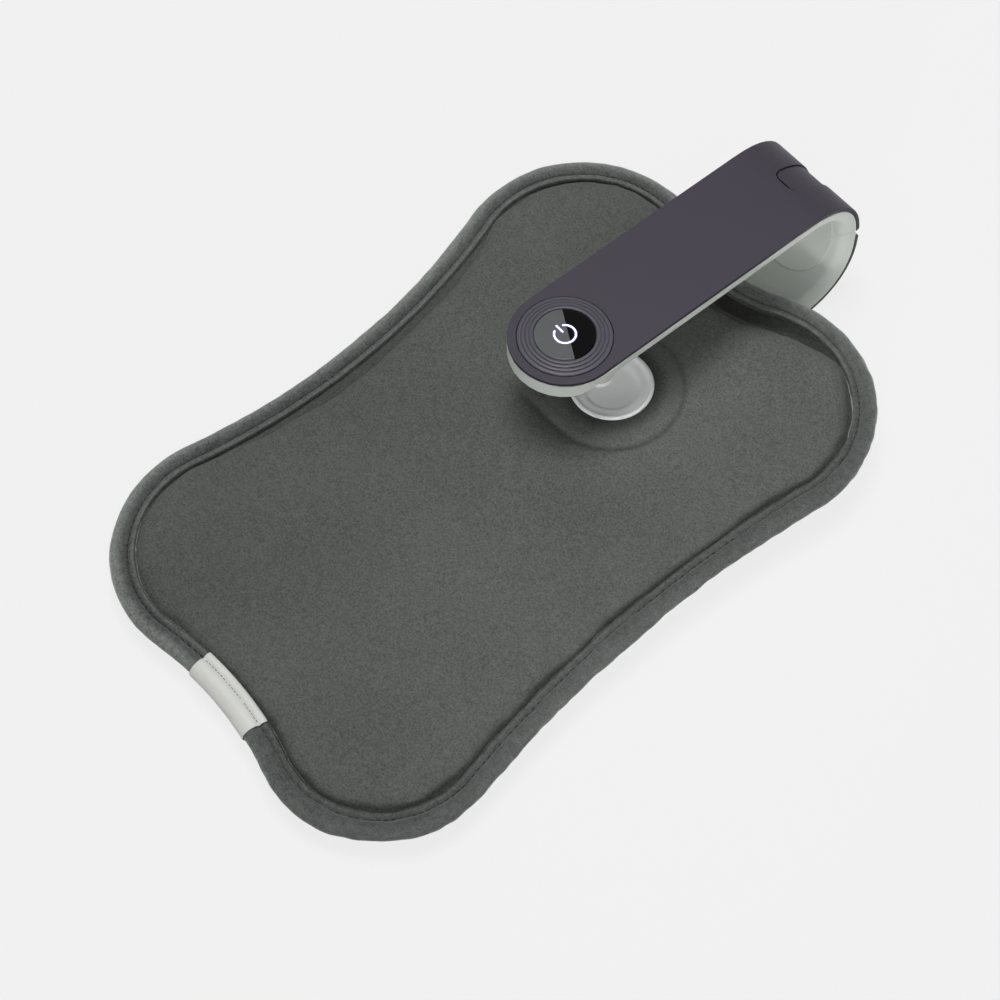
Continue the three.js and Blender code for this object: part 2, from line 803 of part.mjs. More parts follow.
// A side-view shape of [y, z] points, made as wide as the given half width on both sides.
function acrossClip(points, half) {
  const across = new THREE.Matrix4().makeBasis(
    new THREE.Vector3(0, 1, 0),
    new THREE.Vector3(0, 0, 1),
    new THREE.Vector3(1, 0, 0),
  );
  const shape = new THREE.Shape(points.map(([y, z]) => new THREE.Vector2(y, z)));
  const geometry = new THREE.ExtrudeGeometry(shape, { depth: 2 * half, bevelEnabled: false });
  return toSolid(geometry.applyMatrix4(across).translate(-half, 0, 0));
}

function band(outerInset, innerInset, half) {
  return acrossClip([...hairpinLine(outerInset), ...hairpinLine(innerInset).reverse()], half);
}

// The arm's plan: straight sides and a round tip about the given place along the arm.
function armPlan(half, tipCentre, bottom, top) {
  const steps = roundSides / 2;
  const tip = Array.from({ length: steps + 1 }, (_, i) => {
    const angle = Math.PI + (Math.PI * i) / steps;
    return [half * Math.cos(angle), tipCentre + half * Math.sin(angle)];
  });
  const end = backY + overrun;
  return prism([...tip, [half, end], [-half, end]], bottom, top);
}

function upperArm(outerInset, innerInset, half, bottom = hingeHeight + gap / 2) {
  return band(outerInset, innerInset, half).intersect(armPlan(half, 0, bottom, clipHeight + overrun));
}

function lowerArm(outerInset, innerInset, half, top = hingeHeight - gap / 2) {
  return band(outerInset, innerInset, half).intersect(armPlan(half, lowerSetback, -overrun, top));
}

// Hinge

function hingeRod(radius, from, to, sides = roundSides) {
  return rod([from, hingeY, hingeHeight], [to, hingeY, hingeHeight], radius, sides);
}

// The wedge of room behind the pin, between the upper and lower covers.
function hingeWedge() {
  const reach = hingeInset + overrun;
  const rise = reach * Math.tan(wedgeHalfAngle);
  const low = [hingeY + reach, hingeHeight - rise];
  const high = [hingeY + reach, hingeHeight + rise];
  return acrossClip([[hingeY, hingeHeight], low, high], clipHalf + overrun);
}

const wedge = hingeWedge();
const barrelRoom = hingeRod(knuckleRadius + gap, -clipHalf - overrun, clipHalf + overrun);
// The pin goes in from the left, so its hole stays closed on the right.
const pinHole = hingeRod(pinRadius + gap, -clipHalf - overrun, clipHalf - pinRecess + gap, smallSides);
const sideKnuckleStart = centreKnuckleHalf + springRoom + 2 * gap;

function mirrored(from, to, make) {
  return make(from, to).add(make(-to, -from));
}

// The room that the liners fill: the hairpin's whole depth, with its inner long edges rounded off.
function roundedHairpin() {
  const flat = clipHalf - linerEdge;
  const side = armThickness - linerEdge;
  const wide = clipHalf + overrun;
  const steps = Array.from({ length: linerEdgeSteps + 1 }, (_, i) => i / linerEdgeSteps);
  const edge = steps.map((share) => {
    const angle = (Math.PI / 2) * share;
    return [flat + linerEdge * Math.cos(angle), side + linerEdge * Math.sin(angle)];
  });
  const right = [[wide, 0], [wide, side], ...edge, [flat, armThickness + overrun]];
  const left = right.slice().reverse().map(([x, inset]) => [-x, inset]);
  const rows = [[0, 0], ...right, ...left].map(([x, inset]) => hairpinLine(inset)
    .map(([y, z]) => new THREE.Vector3(x, y, z)));
  return loopOf(rows, false);
}

const linerRoom = roundedHairpin();

// Screw places: a boss on the tray, and one on the cover that the screw bites into

const holeRadius = screwShankRadius + gap;
const headRoom = screwHeadRadius + gap;
const bossRadius = headRoom + screwBossWall;

// Upper cover and liner

const coverUnder = clipHeight - coverThickness;
const trayTop = coverUnder - gap;
const trayFloor = clipHeight - armThickness + trayWall;
const armUnder = clipHeight - armThickness;
const upperBossTop = trayFloor + screwHeadHeight + gap;
const buttonHole = buttonRadius + gap;

function inletPlan(half, shrink, bottom, top) {
  const corner = inletCorner - shrink;
  const front = inletTopY + shrink;
  const end = backY + overrun;
  const bevel = corner * (1 - Math.SQRT1_2);
  const left = [
    [-half, end],
    [-half, front + corner],
    [-half + bevel, front + bevel],
    [-half + corner, front],
  ];
  const right = left.slice().reverse().map(([x, y]) => [-x, y]);
  return prism([...left, ...right], bottom, top);
}

function upperCover() {
  const shell = upperArm(0, coverThickness, clipHalf)
    .subtract(wedge)
    .subtract(barrelRoom)
    .subtract(rod([0, 0, armUnder], [0, 0, clipHeight + overrun], buttonHole, roundSides))
    .subtract(inletPlan(inletHalfWidth, 0, inletBottom, clipHeight + overrun));
  const posts = [-upperScrewX, upperScrewX].map((x) => rod(
    [x, upperScrewY, upperBossTop + gap],
    [x, upperScrewY, coverUnder + coverThickness / 2],
    bossRadius - gap,
  ).subtract(rod([x, upperScrewY, armUnder], [x, upperScrewY, coverUnder - gap], holeRadius)));
  return posts.reduce((solid, post) => solid.add(post), shell);
}

function upperLiner() {
  const room = upperArm(0, armThickness - trayWall, clipHalf - traySideWall, hingeHeight + hingeSolid);
  const knuckle = hingeRod(knuckleRadius, -centreKnuckleHalf, centreKnuckleHalf);
  const shell = upperArm(coverThickness + gap, armThickness, clipHalf)
    .subtract(room)
    .subtract(wedge)
    .subtract(mirrored(centreKnuckleHalf, clipHalf + overrun, (a, b) => hingeRod(knuckleRadius + gap, a, b)))
    .add(knuckle)
    .subtract(pinHole)
    .subtract(inletBodyRoom());
  const spigotRoom = postSpigotRadius + gap;
  const postHole = rod([postX, postY, 0], [postX, postY, trayFloor + gap], spigotRoom, roundSides);
  const headSeat = armUnder + screwHeadHeight + gap;
  const bosses = [-upperScrewX, upperScrewX];
  const withBosses = bosses.reduce((solid, x) => solid
    .add(rod([x, upperScrewY, armUnder + trayWall / 2], [x, upperScrewY, upperBossTop], bossRadius))
    .subtract(rod([x, upperScrewY, armUnder - overrun], [x, upperScrewY, headSeat], headRoom))
    .subtract(rod([x, upperScrewY, armUnder], [x, upperScrewY, trayTop], holeRadius)), shell);
  return withBosses.subtract(postHole).intersect(linerRoom);
}

function upperScrew(x) {
  const headBottom = armUnder + gap;
  const headTop = headBottom + screwHeadHeight - gap;
  const shankTop = coverUnder - 2 * gap;
  const head = rod([x, upperScrewY, headBottom], [x, upperScrewY, headTop], screwHeadRadius);
  return head.add(rod([x, upperScrewY, headBottom + gap], [x, upperScrewY, shankTop], screwShankRadius));
}

// Lower cover and liner

const lowerTrayFloor = armThickness - trayWall;
const lowerBossBottom = coverThickness + screwHeadHeight + gap;
const lowerScrews = [lowerScrewFrontY, lowerScrewRearY];

function lowerCover() {
  const shell = lowerArm(0, coverThickness, clipHalf).subtract(wedge).subtract(barrelRoom);
  return lowerScrews.reduce((solid, y) => solid
    .add(rod([0, y, coverThickness / 2], [0, y, lowerBossBottom], bossRadius))
    .subtract(rod([0, y, -overrun], [0, y, footRecess], footRadius + gap, roundSides))
    .subtract(rod([0, y, 0], [0, y, footRecess + screwHeadHeight + gap], headRoom))
    .subtract(rod([0, y, 0], [0, y, lowerBossBottom + gap], holeRadius)), shell);
}

function lowerLiner() {
  const room = lowerArm(0, armThickness - trayWall, clipHalf - traySideWall, hingeHeight - hingeSolid);
  const gripSeat = [gripX, gripY, armThickness - gripRecess];
  const gripRoom = rod(gripSeat, [gripX, gripY, clipHeight / 2], gripRadius + gap, roundSides);
  const shell = lowerArm(coverThickness + gap, armThickness, clipHalf)
    .subtract(room)
    .subtract(wedge)
    .subtract(hingeRod(knuckleRadius + gap, -sideKnuckleStart, sideKnuckleStart))
    .add(mirrored(sideKnuckleStart, clipHalf, (a, b) => hingeRod(knuckleRadius, a, b)))
    .subtract(pinHole)
    .subtract(gripRoom)
    .intersect(linerRoom);
  return lowerScrews.reduce((solid, y) => solid
    .add(rod([0, y, lowerBossBottom + gap], [0, y, lowerTrayFloor + trayWall / 2], bossRadius - gap))
    .subtract(rod([0, y, 0], [0, y, lowerTrayFloor], holeRadius)), shell);
}

function lowerScrew(y) {
  const headBottom = footRecess + gap;
  const head = rod([0, y, headBottom], [0, y, headBottom + screwHeadHeight - gap], screwHeadRadius);
  return head.add(rod([0, y, headBottom + gap], [0, y, lowerTrayFloor - gap], screwShankRadius));
}

function footPad(y) {
  return rod([0, y, -footProud], [0, y, footRecess - gap], footRadius, roundSides);
}

const gripX = portX - clipX;
const gripY = portY - buttonY;

function gripPad() {
  const seat = armThickness - gripRecess;
  return rod([gripX, gripY, seat + gap], [gripX, gripY, armThickness + gripProud], gripRadius, roundSides)
    .intersect(armPlan(clipHalf - gap, lowerSetback, 0, clipHeight));
}

// Hinge hardware

function hingePin() {
  return hingeRod(pinRadius, -clipHalf + pinRecess, clipHalf - pinRecess, smallSides);
}

function hingeSpring(side) {
  const start = centreKnuckleHalf + gap + springWireRadius;
  const length = springRoom - 2 * springWireRadius;
  const place = (up, back, along) => {
    const x = side * (start + along);
    return new THREE.Vector3(x, hingeY + back, hingeHeight + up);
  };
  const coil = new Helix(springCoilRadius, length, springTurns, place);
  return tube(coil, springWireRadius, springSides, springTurns * springSteps);
}

// The guard: a round-ended plate just inside the bend, carried by the upper liner.
function hingeGuard() {
  const inner = armThickness + gap;
  const middle = armReach + guardStart + guardHalfWidth;
  const plate = band(inner, inner + guardThickness, guardHalfWidth);
  const steps = roundSides / 2;
  const roundEnd = Array.from({ length: steps + 1 }, (_, i) => {
    const angle = Math.PI + (Math.PI * i) / steps;
    return [guardHalfWidth * Math.cos(angle), middle + guardHalfWidth * Math.sin(angle)];
  });
  const backCorners = [[guardHalfWidth, backY], [-guardHalfWidth, backY]];
  const plan = prism([...roundEnd, ...backCorners], 0, hingeHeight + guardRise);
  return plate.intersect(plan);
}

// Contact post and pins

const postX = islandX - clipX;
const postY = portY - buttonY;
const postBottom = rimTop + gap - footProud;
const postTop = armUnder - gap;
const contactPinX = contactX - clipX;

function contactPost() {
  const body = turned([
    [0, postBottom],
    [islandRadius, postBottom],
    [islandRadius, postBottom + postStraight],
    [postTopRadius, postTop - postFlangeHeight],
    [postFlangeRadius, postTop - postFlangeHeight],
    [postFlangeRadius, postTop],
    [postSpigotRadius, postTop],
    [postSpigotRadius, trayFloor],
    [0, trayFloor],
  ], postX, postY);
  const pinRoom = contactPinRadius + gap;
  return contactPlaces.reduce((solid, y) => {
    const along = y - buttonY;
    return solid.subtract(rod([contactPinX, along, 0], [contactPinX, along, clipHeight], pinRoom));
  }, body);
}

const boardBottom = trayFloor + gap;
const boardTop = boardBottom + boardThickness;

function contactPin(y) {
  const along = y - buttonY;
  const top = boardBottom - gap / 2;
  return rod([contactPinX, along, postBottom], [contactPinX, along, top], contactPinRadius);
}

// Electronics

function circuitBoard() {
  const plan = armPlan(boardHalfWidth, 0, boardBottom, boardTop);
  return plan.intersect(block([-clipHalf, -clipHalf, boardBottom], [clipHalf, boardEnd, boardTop]));
}

function statusLed() {
  const half = ledSize / 2;
  return block([-half, -half, boardTop + gap], [half, half, boardTop + gap + ledHeight]);
}

function tactileSwitch(x) {
  const half = switchSize / 2;
  const bottom = boardTop + gap;
  const top = plateUnder - buttonTravel - gap;
  return block([x - half, -half, bottom], [x + half, half, bottom + switchHeight])
    .add(rod([x, 0, bottom + switchHeight / 2], [x, 0, top], switchPlungerRadius));
}

// A wire runs over the board's end, then down inside the bend to the inlet.
function supplyWire(x) {
  const z = boardTop + gap + wireRadius;
  const straight = [[boardEnd - wireX, z], [(boardEnd + armReach) / 2, z], [armReach, z]];
  const lastTurn = turnAt(inletBodyHigh + gap + wireRadius, wireInset);
  const bend = wireTurnShares.map((share) => bendPoint(share * lastTurn, wireInset));
  const points = [...straight, ...bend].map(([y, height]) => new THREE.Vector3(x, y, height));
  return tube(new THREE.CatmullRomCurve3(points), wireRadius, tubeSides, wireSteps);
}

// Power button

const buttonTop = clipHeight + buttonLip;
const lipTop = buttonTop + buttonRingRadii.length * buttonStep;
const windowFloor = lipTop + windowRise - windowThickness - gap;
const plateUnder = windowFloor - buttonPlate;
const flangeTopLevel = coverUnder - gap;

function powerButton() {
  const steps = buttonRingRadii.flatMap((radius, i) => [
    [radius, lipTop - i * buttonStep],
    [radius, lipTop - (i + 1) * buttonStep],
  ]);
  const skirt = buttonRadius - buttonSkirtWall;
  return turned([
    [guideRadius + gap, windowFloor],
    [windowRadius, windowFloor],
    [windowRadius, lipTop],
    ...steps,
    [buttonRadius, buttonTop],
    [buttonRadius, flangeTopLevel],
    [buttonRadius + buttonFlange, flangeTopLevel],
    [buttonRadius + buttonFlange, flangeTopLevel - buttonFlangeHeight],
    [skirt, flangeTopLevel - buttonFlangeHeight],
    [skirt, plateUnder],
    [guideRadius + gap, plateUnder],
  ], 0, 0);
}

function buttonWindow() {
  return rod([0, 0, windowFloor + gap], [0, 0, lipTop + windowRise], windowRadius - gap, roundSides);
}

function lightGuide() {
  return rod([0, 0, plateUnder - guideDrop + buttonTravel], [0, 0, windowFloor], guideRadius, roundSides);
}

function buttonSpring() {
  const bottom = boardTop + gap + returnWireRadius;
  const length = plateUnder - gap - returnWireRadius - bottom;
  const place = (x, y, along) => new THREE.Vector3(x, y, bottom + along);
  const coil = new Helix(returnCoilRadius, length, returnTurns, place);
  return tube(coil, returnWireRadius, springSides, returnTurns * returnSteps);
}

// Power inlet

const lidInset = coverThickness + gap;
const trayDepth = armThickness - trayWall;

function inletBodyRoom() {
  return block(
    [-inletBodyHalfWidth - gap, inletBodyFront - overrun, inletBodyLow - gap],
    [inletBodyHalfWidth + gap, backY, inletBodyHigh + gap],
  );
}

function inletHousing() {
  const lid = band(lidInset, lidInset + inletLidThickness, inletBodyHalfWidth)
    .intersect(inletPlan(inletBodyHalfWidth, -gap, inletBottom + gap, clipHeight + overrun));
  const body = block(
    [-inletBodyHalfWidth, inletBodyFront, inletBodyLow],
    [inletBodyHalfWidth, backY, inletBodyHigh],
  ).subtract(band(-armThickness - overrun, lidInset, clipHalf));
  const mouth = block(
    [-socketHalfWidth, inletBodyFront + inletPinRoot + gap, inletCentre - socketHeight / 2],
    [socketHalfWidth, backY + overrun, inletCentre + socketHeight / 2],
  );
  const raised = band(inletSunk, lidInset + inletLidThickness, inletHalfWidth - gap)
    .intersect(inletPlan(inletHalfWidth - gap, inletSlit, inletBottom + gap, clipHeight + overrun));
  const housing = lid.add(body).add(raised).subtract(mouth);
  const pinStart = inletBodyFront + gap;
  return [-inletPinX, inletPinX].reduce((solid, x) => solid
    .subtract(rod([x, pinStart, inletCentre], [x, backY, inletCentre], inletPinRadius + gap)), housing);
}

function inletPin(x) {
  const start = inletBodyFront + 2 * gap;
  return rod([x, start, inletCentre], [x, start + inletPinLength, inletCentre], inletPinRadius);
}

// The assembly

const bottle = new THREE.Group();
const clip = new THREE.Group();
clip.position.set(clipX, buttonY, footProud);
bottle.add(clip);

function place(group, name, solid, material) {
  const mesh = new THREE.Mesh(toGeometry(solid), material);
  mesh.name = name;
  group.add(mesh);
}

place(bottle, 'cover_top_panel', coverTopPanel(), velvet);
place(bottle, 'cover_bottom_panel', coverBottomPanel(), velvet);
place(bottle, 'edge_binding', edgeBinding(), bindingVelvet);
place(bottle, 'side_label', sideLabel(), satin);
place(bottle, 'water_bladder', waterBladder(), bladderFilm);
place(bottle, 'port_socket', portSocket(), portPlastic);
place(bottle, 'port_contact_left', portContact(contactPlaces[0]), brass);
place(bottle, 'port_contact_right', portContact(contactPlaces[1]), brass);
place(bottle, 'port_gasket', portGasket(), sealRubber);
place(bottle, 'port_lock_nut', portLockNut(), cagePlastic);
place(bottle, 'heater_cage_lower', heaterCageLower(), cagePlastic);
place(bottle, 'heater_cage_upper', heaterCageUpper(), cagePlastic);
place(bottle, 'heating_element', heatingElement(), steel);
place(bottle, 'terminal_strip_left', terminalStrip(-1), brass);
place(bottle, 'terminal_strip_right', terminalStrip(1), brass);
place(bottle, 'thermostat', thermostat(), switchBlack);
place(bottle, 'thermal_fuse', thermalFuse(), clearPlastic);

place(clip, 'lower_cover', lowerCover(), coverPlastic);
place(clip, 'lower_liner', lowerLiner(), linerPlastic);
place(clip, 'grip_pad', gripPad(), sealRubber);
place(clip, 'foot_pad_front', footPad(lowerScrewFrontY), sealRubber);
place(clip, 'foot_pad_rear', footPad(lowerScrewRearY), sealRubber);
place(clip, 'lower_screw_front', lowerScrew(lowerScrewFrontY), steel);
place(clip, 'lower_screw_rear', lowerScrew(lowerScrewRearY), steel);
place(clip, 'hinge_pin', hingePin(), steel);
place(clip, 'hinge_spring_left', hingeSpring(-1), steel);
place(clip, 'hinge_spring_right', hingeSpring(1), steel);

place(clip, 'upper_cover', upperCover(), coverPlastic);
place(clip, 'upper_liner', upperLiner(), linerPlastic);
place(clip, 'hinge_guard', hingeGuard(), linerPlastic);
place(clip, 'upper_screw_left', upperScrew(-upperScrewX), steel);
place(clip, 'upper_screw_right', upperScrew(upperScrewX), steel);
place(clip, 'contact_post', contactPost(), linerPlastic);
place(clip, 'contact_pin_left', contactPin(contactPlaces[0]), brass);
place(clip, 'contact_pin_right', contactPin(contactPlaces[1]), brass);
place(clip, 'circuit_board', circuitBoard(), boardGreen);
place(clip, 'status_led', statusLed(), clearPlastic);
place(clip, 'switch_left', tactileSwitch(-switchX), switchBlack);
place(clip, 'switch_right', tactileSwitch(switchX), switchBlack);
place(clip, 'inlet_housing', inletHousing(), coverPlastic);
place(clip, 'inlet_pin_left', inletPin(-inletPinX), brass);
place(clip, 'inlet_pin_right', inletPin(inletPinX), brass);
place(clip, 'supply_wire_left', supplyWire(-wireX), wireInsulation);
place(clip, 'supply_wire_right', supplyWire(wireX), wireInsulation);

place(clip, 'power_button', powerButton(), coverPlastic);
place(clip, 'button_window', buttonWindow(), windowGlass);
place(clip, 'light_guide', lightGuide(), clearPlastic);
place(clip, 'button_spring', buttonSpring(), steel);

export default bottle;
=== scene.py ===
# %% [markdown]
# An electric hot water bottle: a flat, velvet-covered bag with a rolled edge, and the
# hairpin clip that charges it, shown gripping the bag's short edge.
# The construction comes in as a fixed frame of solids. This script gives every surface
# its look: the hard pieces keep their frame shape with softened edges, and the soft ones
# are modelled afresh in the same place. Lengths are written in millimetres, because the
# real pieces are measured that way, and turned into metres when a mesh is finished.

import json
import math

import bmesh
import bpy
from mathutils import Matrix, Vector, noise


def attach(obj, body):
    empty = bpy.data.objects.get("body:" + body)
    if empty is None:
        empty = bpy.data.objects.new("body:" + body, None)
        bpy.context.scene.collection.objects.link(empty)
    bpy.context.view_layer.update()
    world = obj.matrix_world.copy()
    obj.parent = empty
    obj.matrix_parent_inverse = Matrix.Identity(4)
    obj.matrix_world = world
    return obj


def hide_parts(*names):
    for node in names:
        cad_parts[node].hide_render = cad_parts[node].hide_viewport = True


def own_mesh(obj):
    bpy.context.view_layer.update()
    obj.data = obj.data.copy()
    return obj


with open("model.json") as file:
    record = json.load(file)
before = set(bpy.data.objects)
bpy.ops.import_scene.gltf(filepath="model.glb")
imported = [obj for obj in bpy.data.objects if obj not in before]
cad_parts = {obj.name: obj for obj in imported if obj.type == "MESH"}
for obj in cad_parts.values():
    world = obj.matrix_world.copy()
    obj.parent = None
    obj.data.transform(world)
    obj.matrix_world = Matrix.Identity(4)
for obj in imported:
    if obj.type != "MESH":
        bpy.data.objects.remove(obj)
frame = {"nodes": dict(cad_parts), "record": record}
scene = bpy.context.scene
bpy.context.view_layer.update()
MM = 0.001
BODIES = frame["record"]["behaviour"]["bodies"]

# %% [markdown]
# The camera stands where the photographer stood: to the right of the bag's near end and
# high above it, with a long lens, so that the far lobes look hardly smaller.

# %% Camera
VIEW_AZIMUTH = math.radians(49.7)
VIEW_ELEVATION = math.radians(58)
VIEW_DISTANCE = 1.101
VIEW_TARGET = Vector((0.00086, 0.00219, 0))
LENS = 108
SENSOR = 36

camera_data = bpy.data.cameras.new("camera")
camera_data.lens = LENS
camera_data.sensor_width = SENSOR
camera = bpy.data.objects.new("camera", camera_data)
scene.collection.objects.link(camera)
back = Vector((
    math.sin(VIEW_AZIMUTH) * math.cos(VIEW_ELEVATION),
    -math.cos(VIEW_AZIMUTH) * math.cos(VIEW_ELEVATION),
    math.sin(VIEW_ELEVATION),
))
camera.location = VIEW_TARGET + VIEW_DISTANCE * back
camera.rotation_euler = back.to_track_quat("Z", "Y").to_euler()
scene.camera = camera
scene.view_settings.view_transform = "Standard"
print("camera at", [round(x, 3) for x in camera.location])

# %% [markdown]
# Studio light for a dark, matt object is broad and soft: a pale room all round, one wide
# lamp overhead, one from the front right, and two small narrow ones that reach into the
# clip's bend. The floor and the room are a plain pale grey to the camera and in
# reflections. The floor is still lit a little, so the object keeps a faint shadow.

# %% Light and floor
BACKDROP = (0.888, 0.888, 0.888, 1)
ROOM_STRENGTH = 0.17
FLOOR_SIZE = 6
FLOOR_GLOW = 0.9


def add_node(tree, kind, *values, operation=None, **named):
    """A shader node whose sockets get other nodes' outputs or plain values."""
    made = tree.nodes.new("ShaderNode" + kind)
    if operation:
        made.operation = operation
    fed = list(zip(made.inputs, values)) + [(made.inputs[name], named[name]) for name in named]
    for socket, value in fed:
        if isinstance(value, bpy.types.NodeSocket):
            tree.links.new(value, socket)
        else:
            socket.default_value = value
    return made


def maths(tree, operation, *values):
    return add_node(tree, "Math", *values, operation=operation).outputs[0]


def seen_directly(tree):
    """A mask that is 1 for rays from the camera, in a mirror and through clear plastic."""
    rays = add_node(tree, "LightPath").outputs
    either = maths(tree, "MAXIMUM", rays["Is Camera Ray"], rays["Is Glossy Ray"])
    return maths(tree, "MAXIMUM", either, rays["Is Transmission Ray"])


def blend(tree, lit, shown, share, out):
    """Gives a surface one shader, and to some share another one."""
    mix = add_node(tree, "MixShader", share, lit.outputs[0], shown.outputs[0])
    tree.links.new(mix.outputs[0], out.inputs["Surface"])


def build_room():
    world = bpy.data.worlds.new("room")
    world.use_nodes = True
    tree = world.node_tree
    lit = tree.nodes["Background"]
    lit.inputs["Color"].default_value = (1, 1, 1, 1)
    lit.inputs["Strength"].default_value = ROOM_STRENGTH
    shown = add_node(tree, "Background", Color=BACKDROP)
    blend(tree, lit, shown, seen_directly(tree), tree.nodes["World Output"])
    scene.world = world


def build_floor():
    bm = bmesh.new()
    bmesh.ops.create_grid(bm, x_segments=1, y_segments=1, size=FLOOR_SIZE / 2)
    mesh = bpy.data.meshes.new("floor")
    bm.to_mesh(mesh)
    bm.free()
    paint = bpy.data.materials.new("floor_paper")
    paint.use_nodes = True
    tree = paint.node_tree
    tree.nodes.remove(tree.nodes["Principled BSDF"])
    matt = add_node(tree, "BsdfDiffuse", Color=BACKDROP)
    glow = add_node(tree, "Emission", Color=BACKDROP)
    share = maths(tree, "MULTIPLY", seen_directly(tree), FLOOR_GLOW)
    blend(tree, matt, glow, share, tree.nodes["Material Output"])
    mesh.materials.append(paint)
    floor = bpy.data.objects.new("floor", mesh)
    scene.collection.objects.link(floor)


def add_lamp(name, place, size, power, aim=(0, 0, 0), beam=180):
    """A square lamp that faces a point; a beam under 180 degrees is a grid on its front."""
    data = bpy.data.lights.new(name, "AREA")
    data.size = size
    data.energy = power
    data.spread = math.radians(beam)
    lamp = bpy.data.objects.new(name, data)
    lamp.location = place
    lamp.rotation_euler = (Vector(place) - Vector(aim)).to_track_quat("Z", "Y").to_euler()
    scene.collection.objects.link(lamp)


build_room()
build_floor()
add_lamp("overhead", (-0.15, 0.05, 1.6), size=0.6, power=16.5)
add_lamp("front_right", (0.75, -0.5, 1.15), size=0.7, power=3)
IN_BEND = {"size": 0.2, "aim": (0.005, 0.16, 0.035), "beam": 16}
add_lamp("bend_fill_low", (0.5, -0.56, 0.23), power=0.045, **IN_BEND)
add_lamp("bend_fill_high", (0.5, -0.56, 0.48), power=0.018, **IN_BEND)
print("room, floor and four lamps")

# %% [markdown]
# Every material is a Principled shader with its detail from procedural noise on Object
# coordinates, which run in metres. The shared effects are node groups: one gives velvet
# its brushed patches and pile, the other gives moulded plastic its fine grain. Sheen,
# IOR and the like stay plain numbers on the shader.

# %% Shared effect: velvet nap


def effect_group(name, amounts, results):
    """A node group that takes a place and some amounts, and its two ends."""
    group = bpy.data.node_groups.new(name, "ShaderNodeTree")
    sockets = group.interface
    sockets.new_socket(name="Vector", in_out="INPUT", socket_type="NodeSocketVector")
    for label, amount in amounts.items():
        made = sockets.new_socket(name=label, in_out="INPUT", socket_type="NodeSocketFloat")
        made.default_value = amount
    for label in results:
        sockets.new_socket(name=label, in_out="OUTPUT", socket_type="NodeSocketFloat")
    given = group.nodes.new("NodeGroupInput").outputs
    out = group.nodes.new("NodeGroupOutput").inputs
    return group, given, out


def with_effect(tree, place, group, **amounts):
    """A node that runs a shared effect, and its results."""
    made = tree.nodes.new("ShaderNodeGroup")
    made.node_tree = group
    for label, amount in amounts.items():
        made.inputs[label].default_value = amount
    tree.links.new(place, made.inputs["Vector"])
    return made.outputs


def noise_node(tree, vector, scale, detail, roughness=0.5):
    made = add_node(
        tree, "TexNoise", Vector=vector, Scale=scale, Detail=detail, Roughness=roughness
    )
    return made.outputs["Fac"]


def spread(tree, value, amount):
    """A noise value moved to lie round zero and scaled by an amount."""
    centred = maths(tree, "SUBTRACT", value, 0.5)
    return maths(tree, "MULTIPLY", centred, amount)


def added(tree, first, second):
    return maths(tree, "ADD", first, second)


def make_velvet_nap():
    """Shade is 1 on average: soft brushed patches, a mottle and the pile's own grain."""
    amounts = {"Patches": 0.3, "Mottle": 0.3, "Pile": 0.4}
    group, given, out = effect_group("velvet_nap", amounts, ("Shade", "Height"))
    place = given["Vector"]
    patches = noise_node(group, place, scale=16, detail=3)
    mottle = noise_node(group, place, scale=420, detail=4, roughness=0.6)
    pile = noise_node(group, place, scale=1300, detail=3, roughness=0.75)
    shade = spread(group, patches, given["Patches"])
    shade = added(group, shade, spread(group, mottle, given["Mottle"]))
    shade = added(group, shade, spread(group, pile, given["Pile"]))
    group.links.new(added(group, shade, 1), out["Shade"])
    group.links.new(added(group, mottle, pile), out["Height"])
    return group


velvet_nap = make_velvet_nap()
print("group:", velvet_nap.name)

# %% Shared effect: moulded plastic grain


def make_moulded_grain():
    """A very fine spark-eroded grain, and slow changes of gloss from handling."""
    amounts = {"Gloss": 0.45, "Wear": 0.1}
    results = ("Roughness", "Shade", "Height")
    group, given, out = effect_group("moulded_grain", amounts, results)
    slow = noise_node(group, given["Vector"], scale=28, detail=3)
    fine = noise_node(group, given["Vector"], scale=2600, detail=2)
    rough = spread(group, slow, given["Wear"])
    group.links.new(added(group, rough, given["Gloss"]), out["Roughness"])
    group.links.new(added(group, spread(group, slow, 0.07), 1), out["Shade"])
    group.links.new(fine, out["Height"])
    return group


moulded_grain = make_moulded_grain()
print("group:", moulded_grain.name)

# %% A material's common parts


def srgb(red, green, blue):
    """A colour written as it is seen on a screen, from 0 to 255, as linear light."""

    def linear(value):
        share = value / 255
        return share / 12.92 if share <= 0.04045 else ((share + 0.055) / 1.055) ** 2.4

    return (linear(red), linear(green), linear(blue), 1)


def new_material(name, sockets):
    """A material with constant values on its Principled shader, and its node tree."""
    material = bpy.data.materials.new(name)
    material.use_nodes = True
    tree = material.node_tree
    shader = tree.nodes["Principled BSDF"]
    for socket, value in sockets.items():
        shader.inputs[socket].default_value = value
    place = add_node(tree, "TexCoord").outputs["Object"]
    return material, tree, shader, place


def tint(tree, colour, shade):
    """A colour multiplied by a shade that changes over the surface."""
    return add_node(tree, "VectorMath", colour[:3], operation="SCALE", Scale=shade).outputs[0]


def bump(tree, shader, height, distance, strength=1.0):
    made = add_node(tree, "Bump", Height=height, Distance=distance, Strength=strength)
    tree.links.new(made.outputs["Normal"], shader.inputs["Normal"])


print("material helpers ready")

# %% [markdown]
# Velvet is dark where its pile is seen end on and pale where light skims it, so both
# velvets have a matt base and a soft sheen. The panel's pile lies flat and even. The
# binding is cut from the same cloth but is stretched round the edge, so its pile stands
# up in cooler, uneven patches. Light and shade are also painted into the colour: painted
# shade darkens creases, grooves and the places under the clip, and painted light makes
# rims and ridges paler. Each piece carries that in an attribute called painted_shading.

# %% Velvet materials
# The attribute that carries painted shade and painted light on the velvet pieces.
PAINTED_SHADING = "painted_shading"
PILE_DEPTH = 0.5 * MM


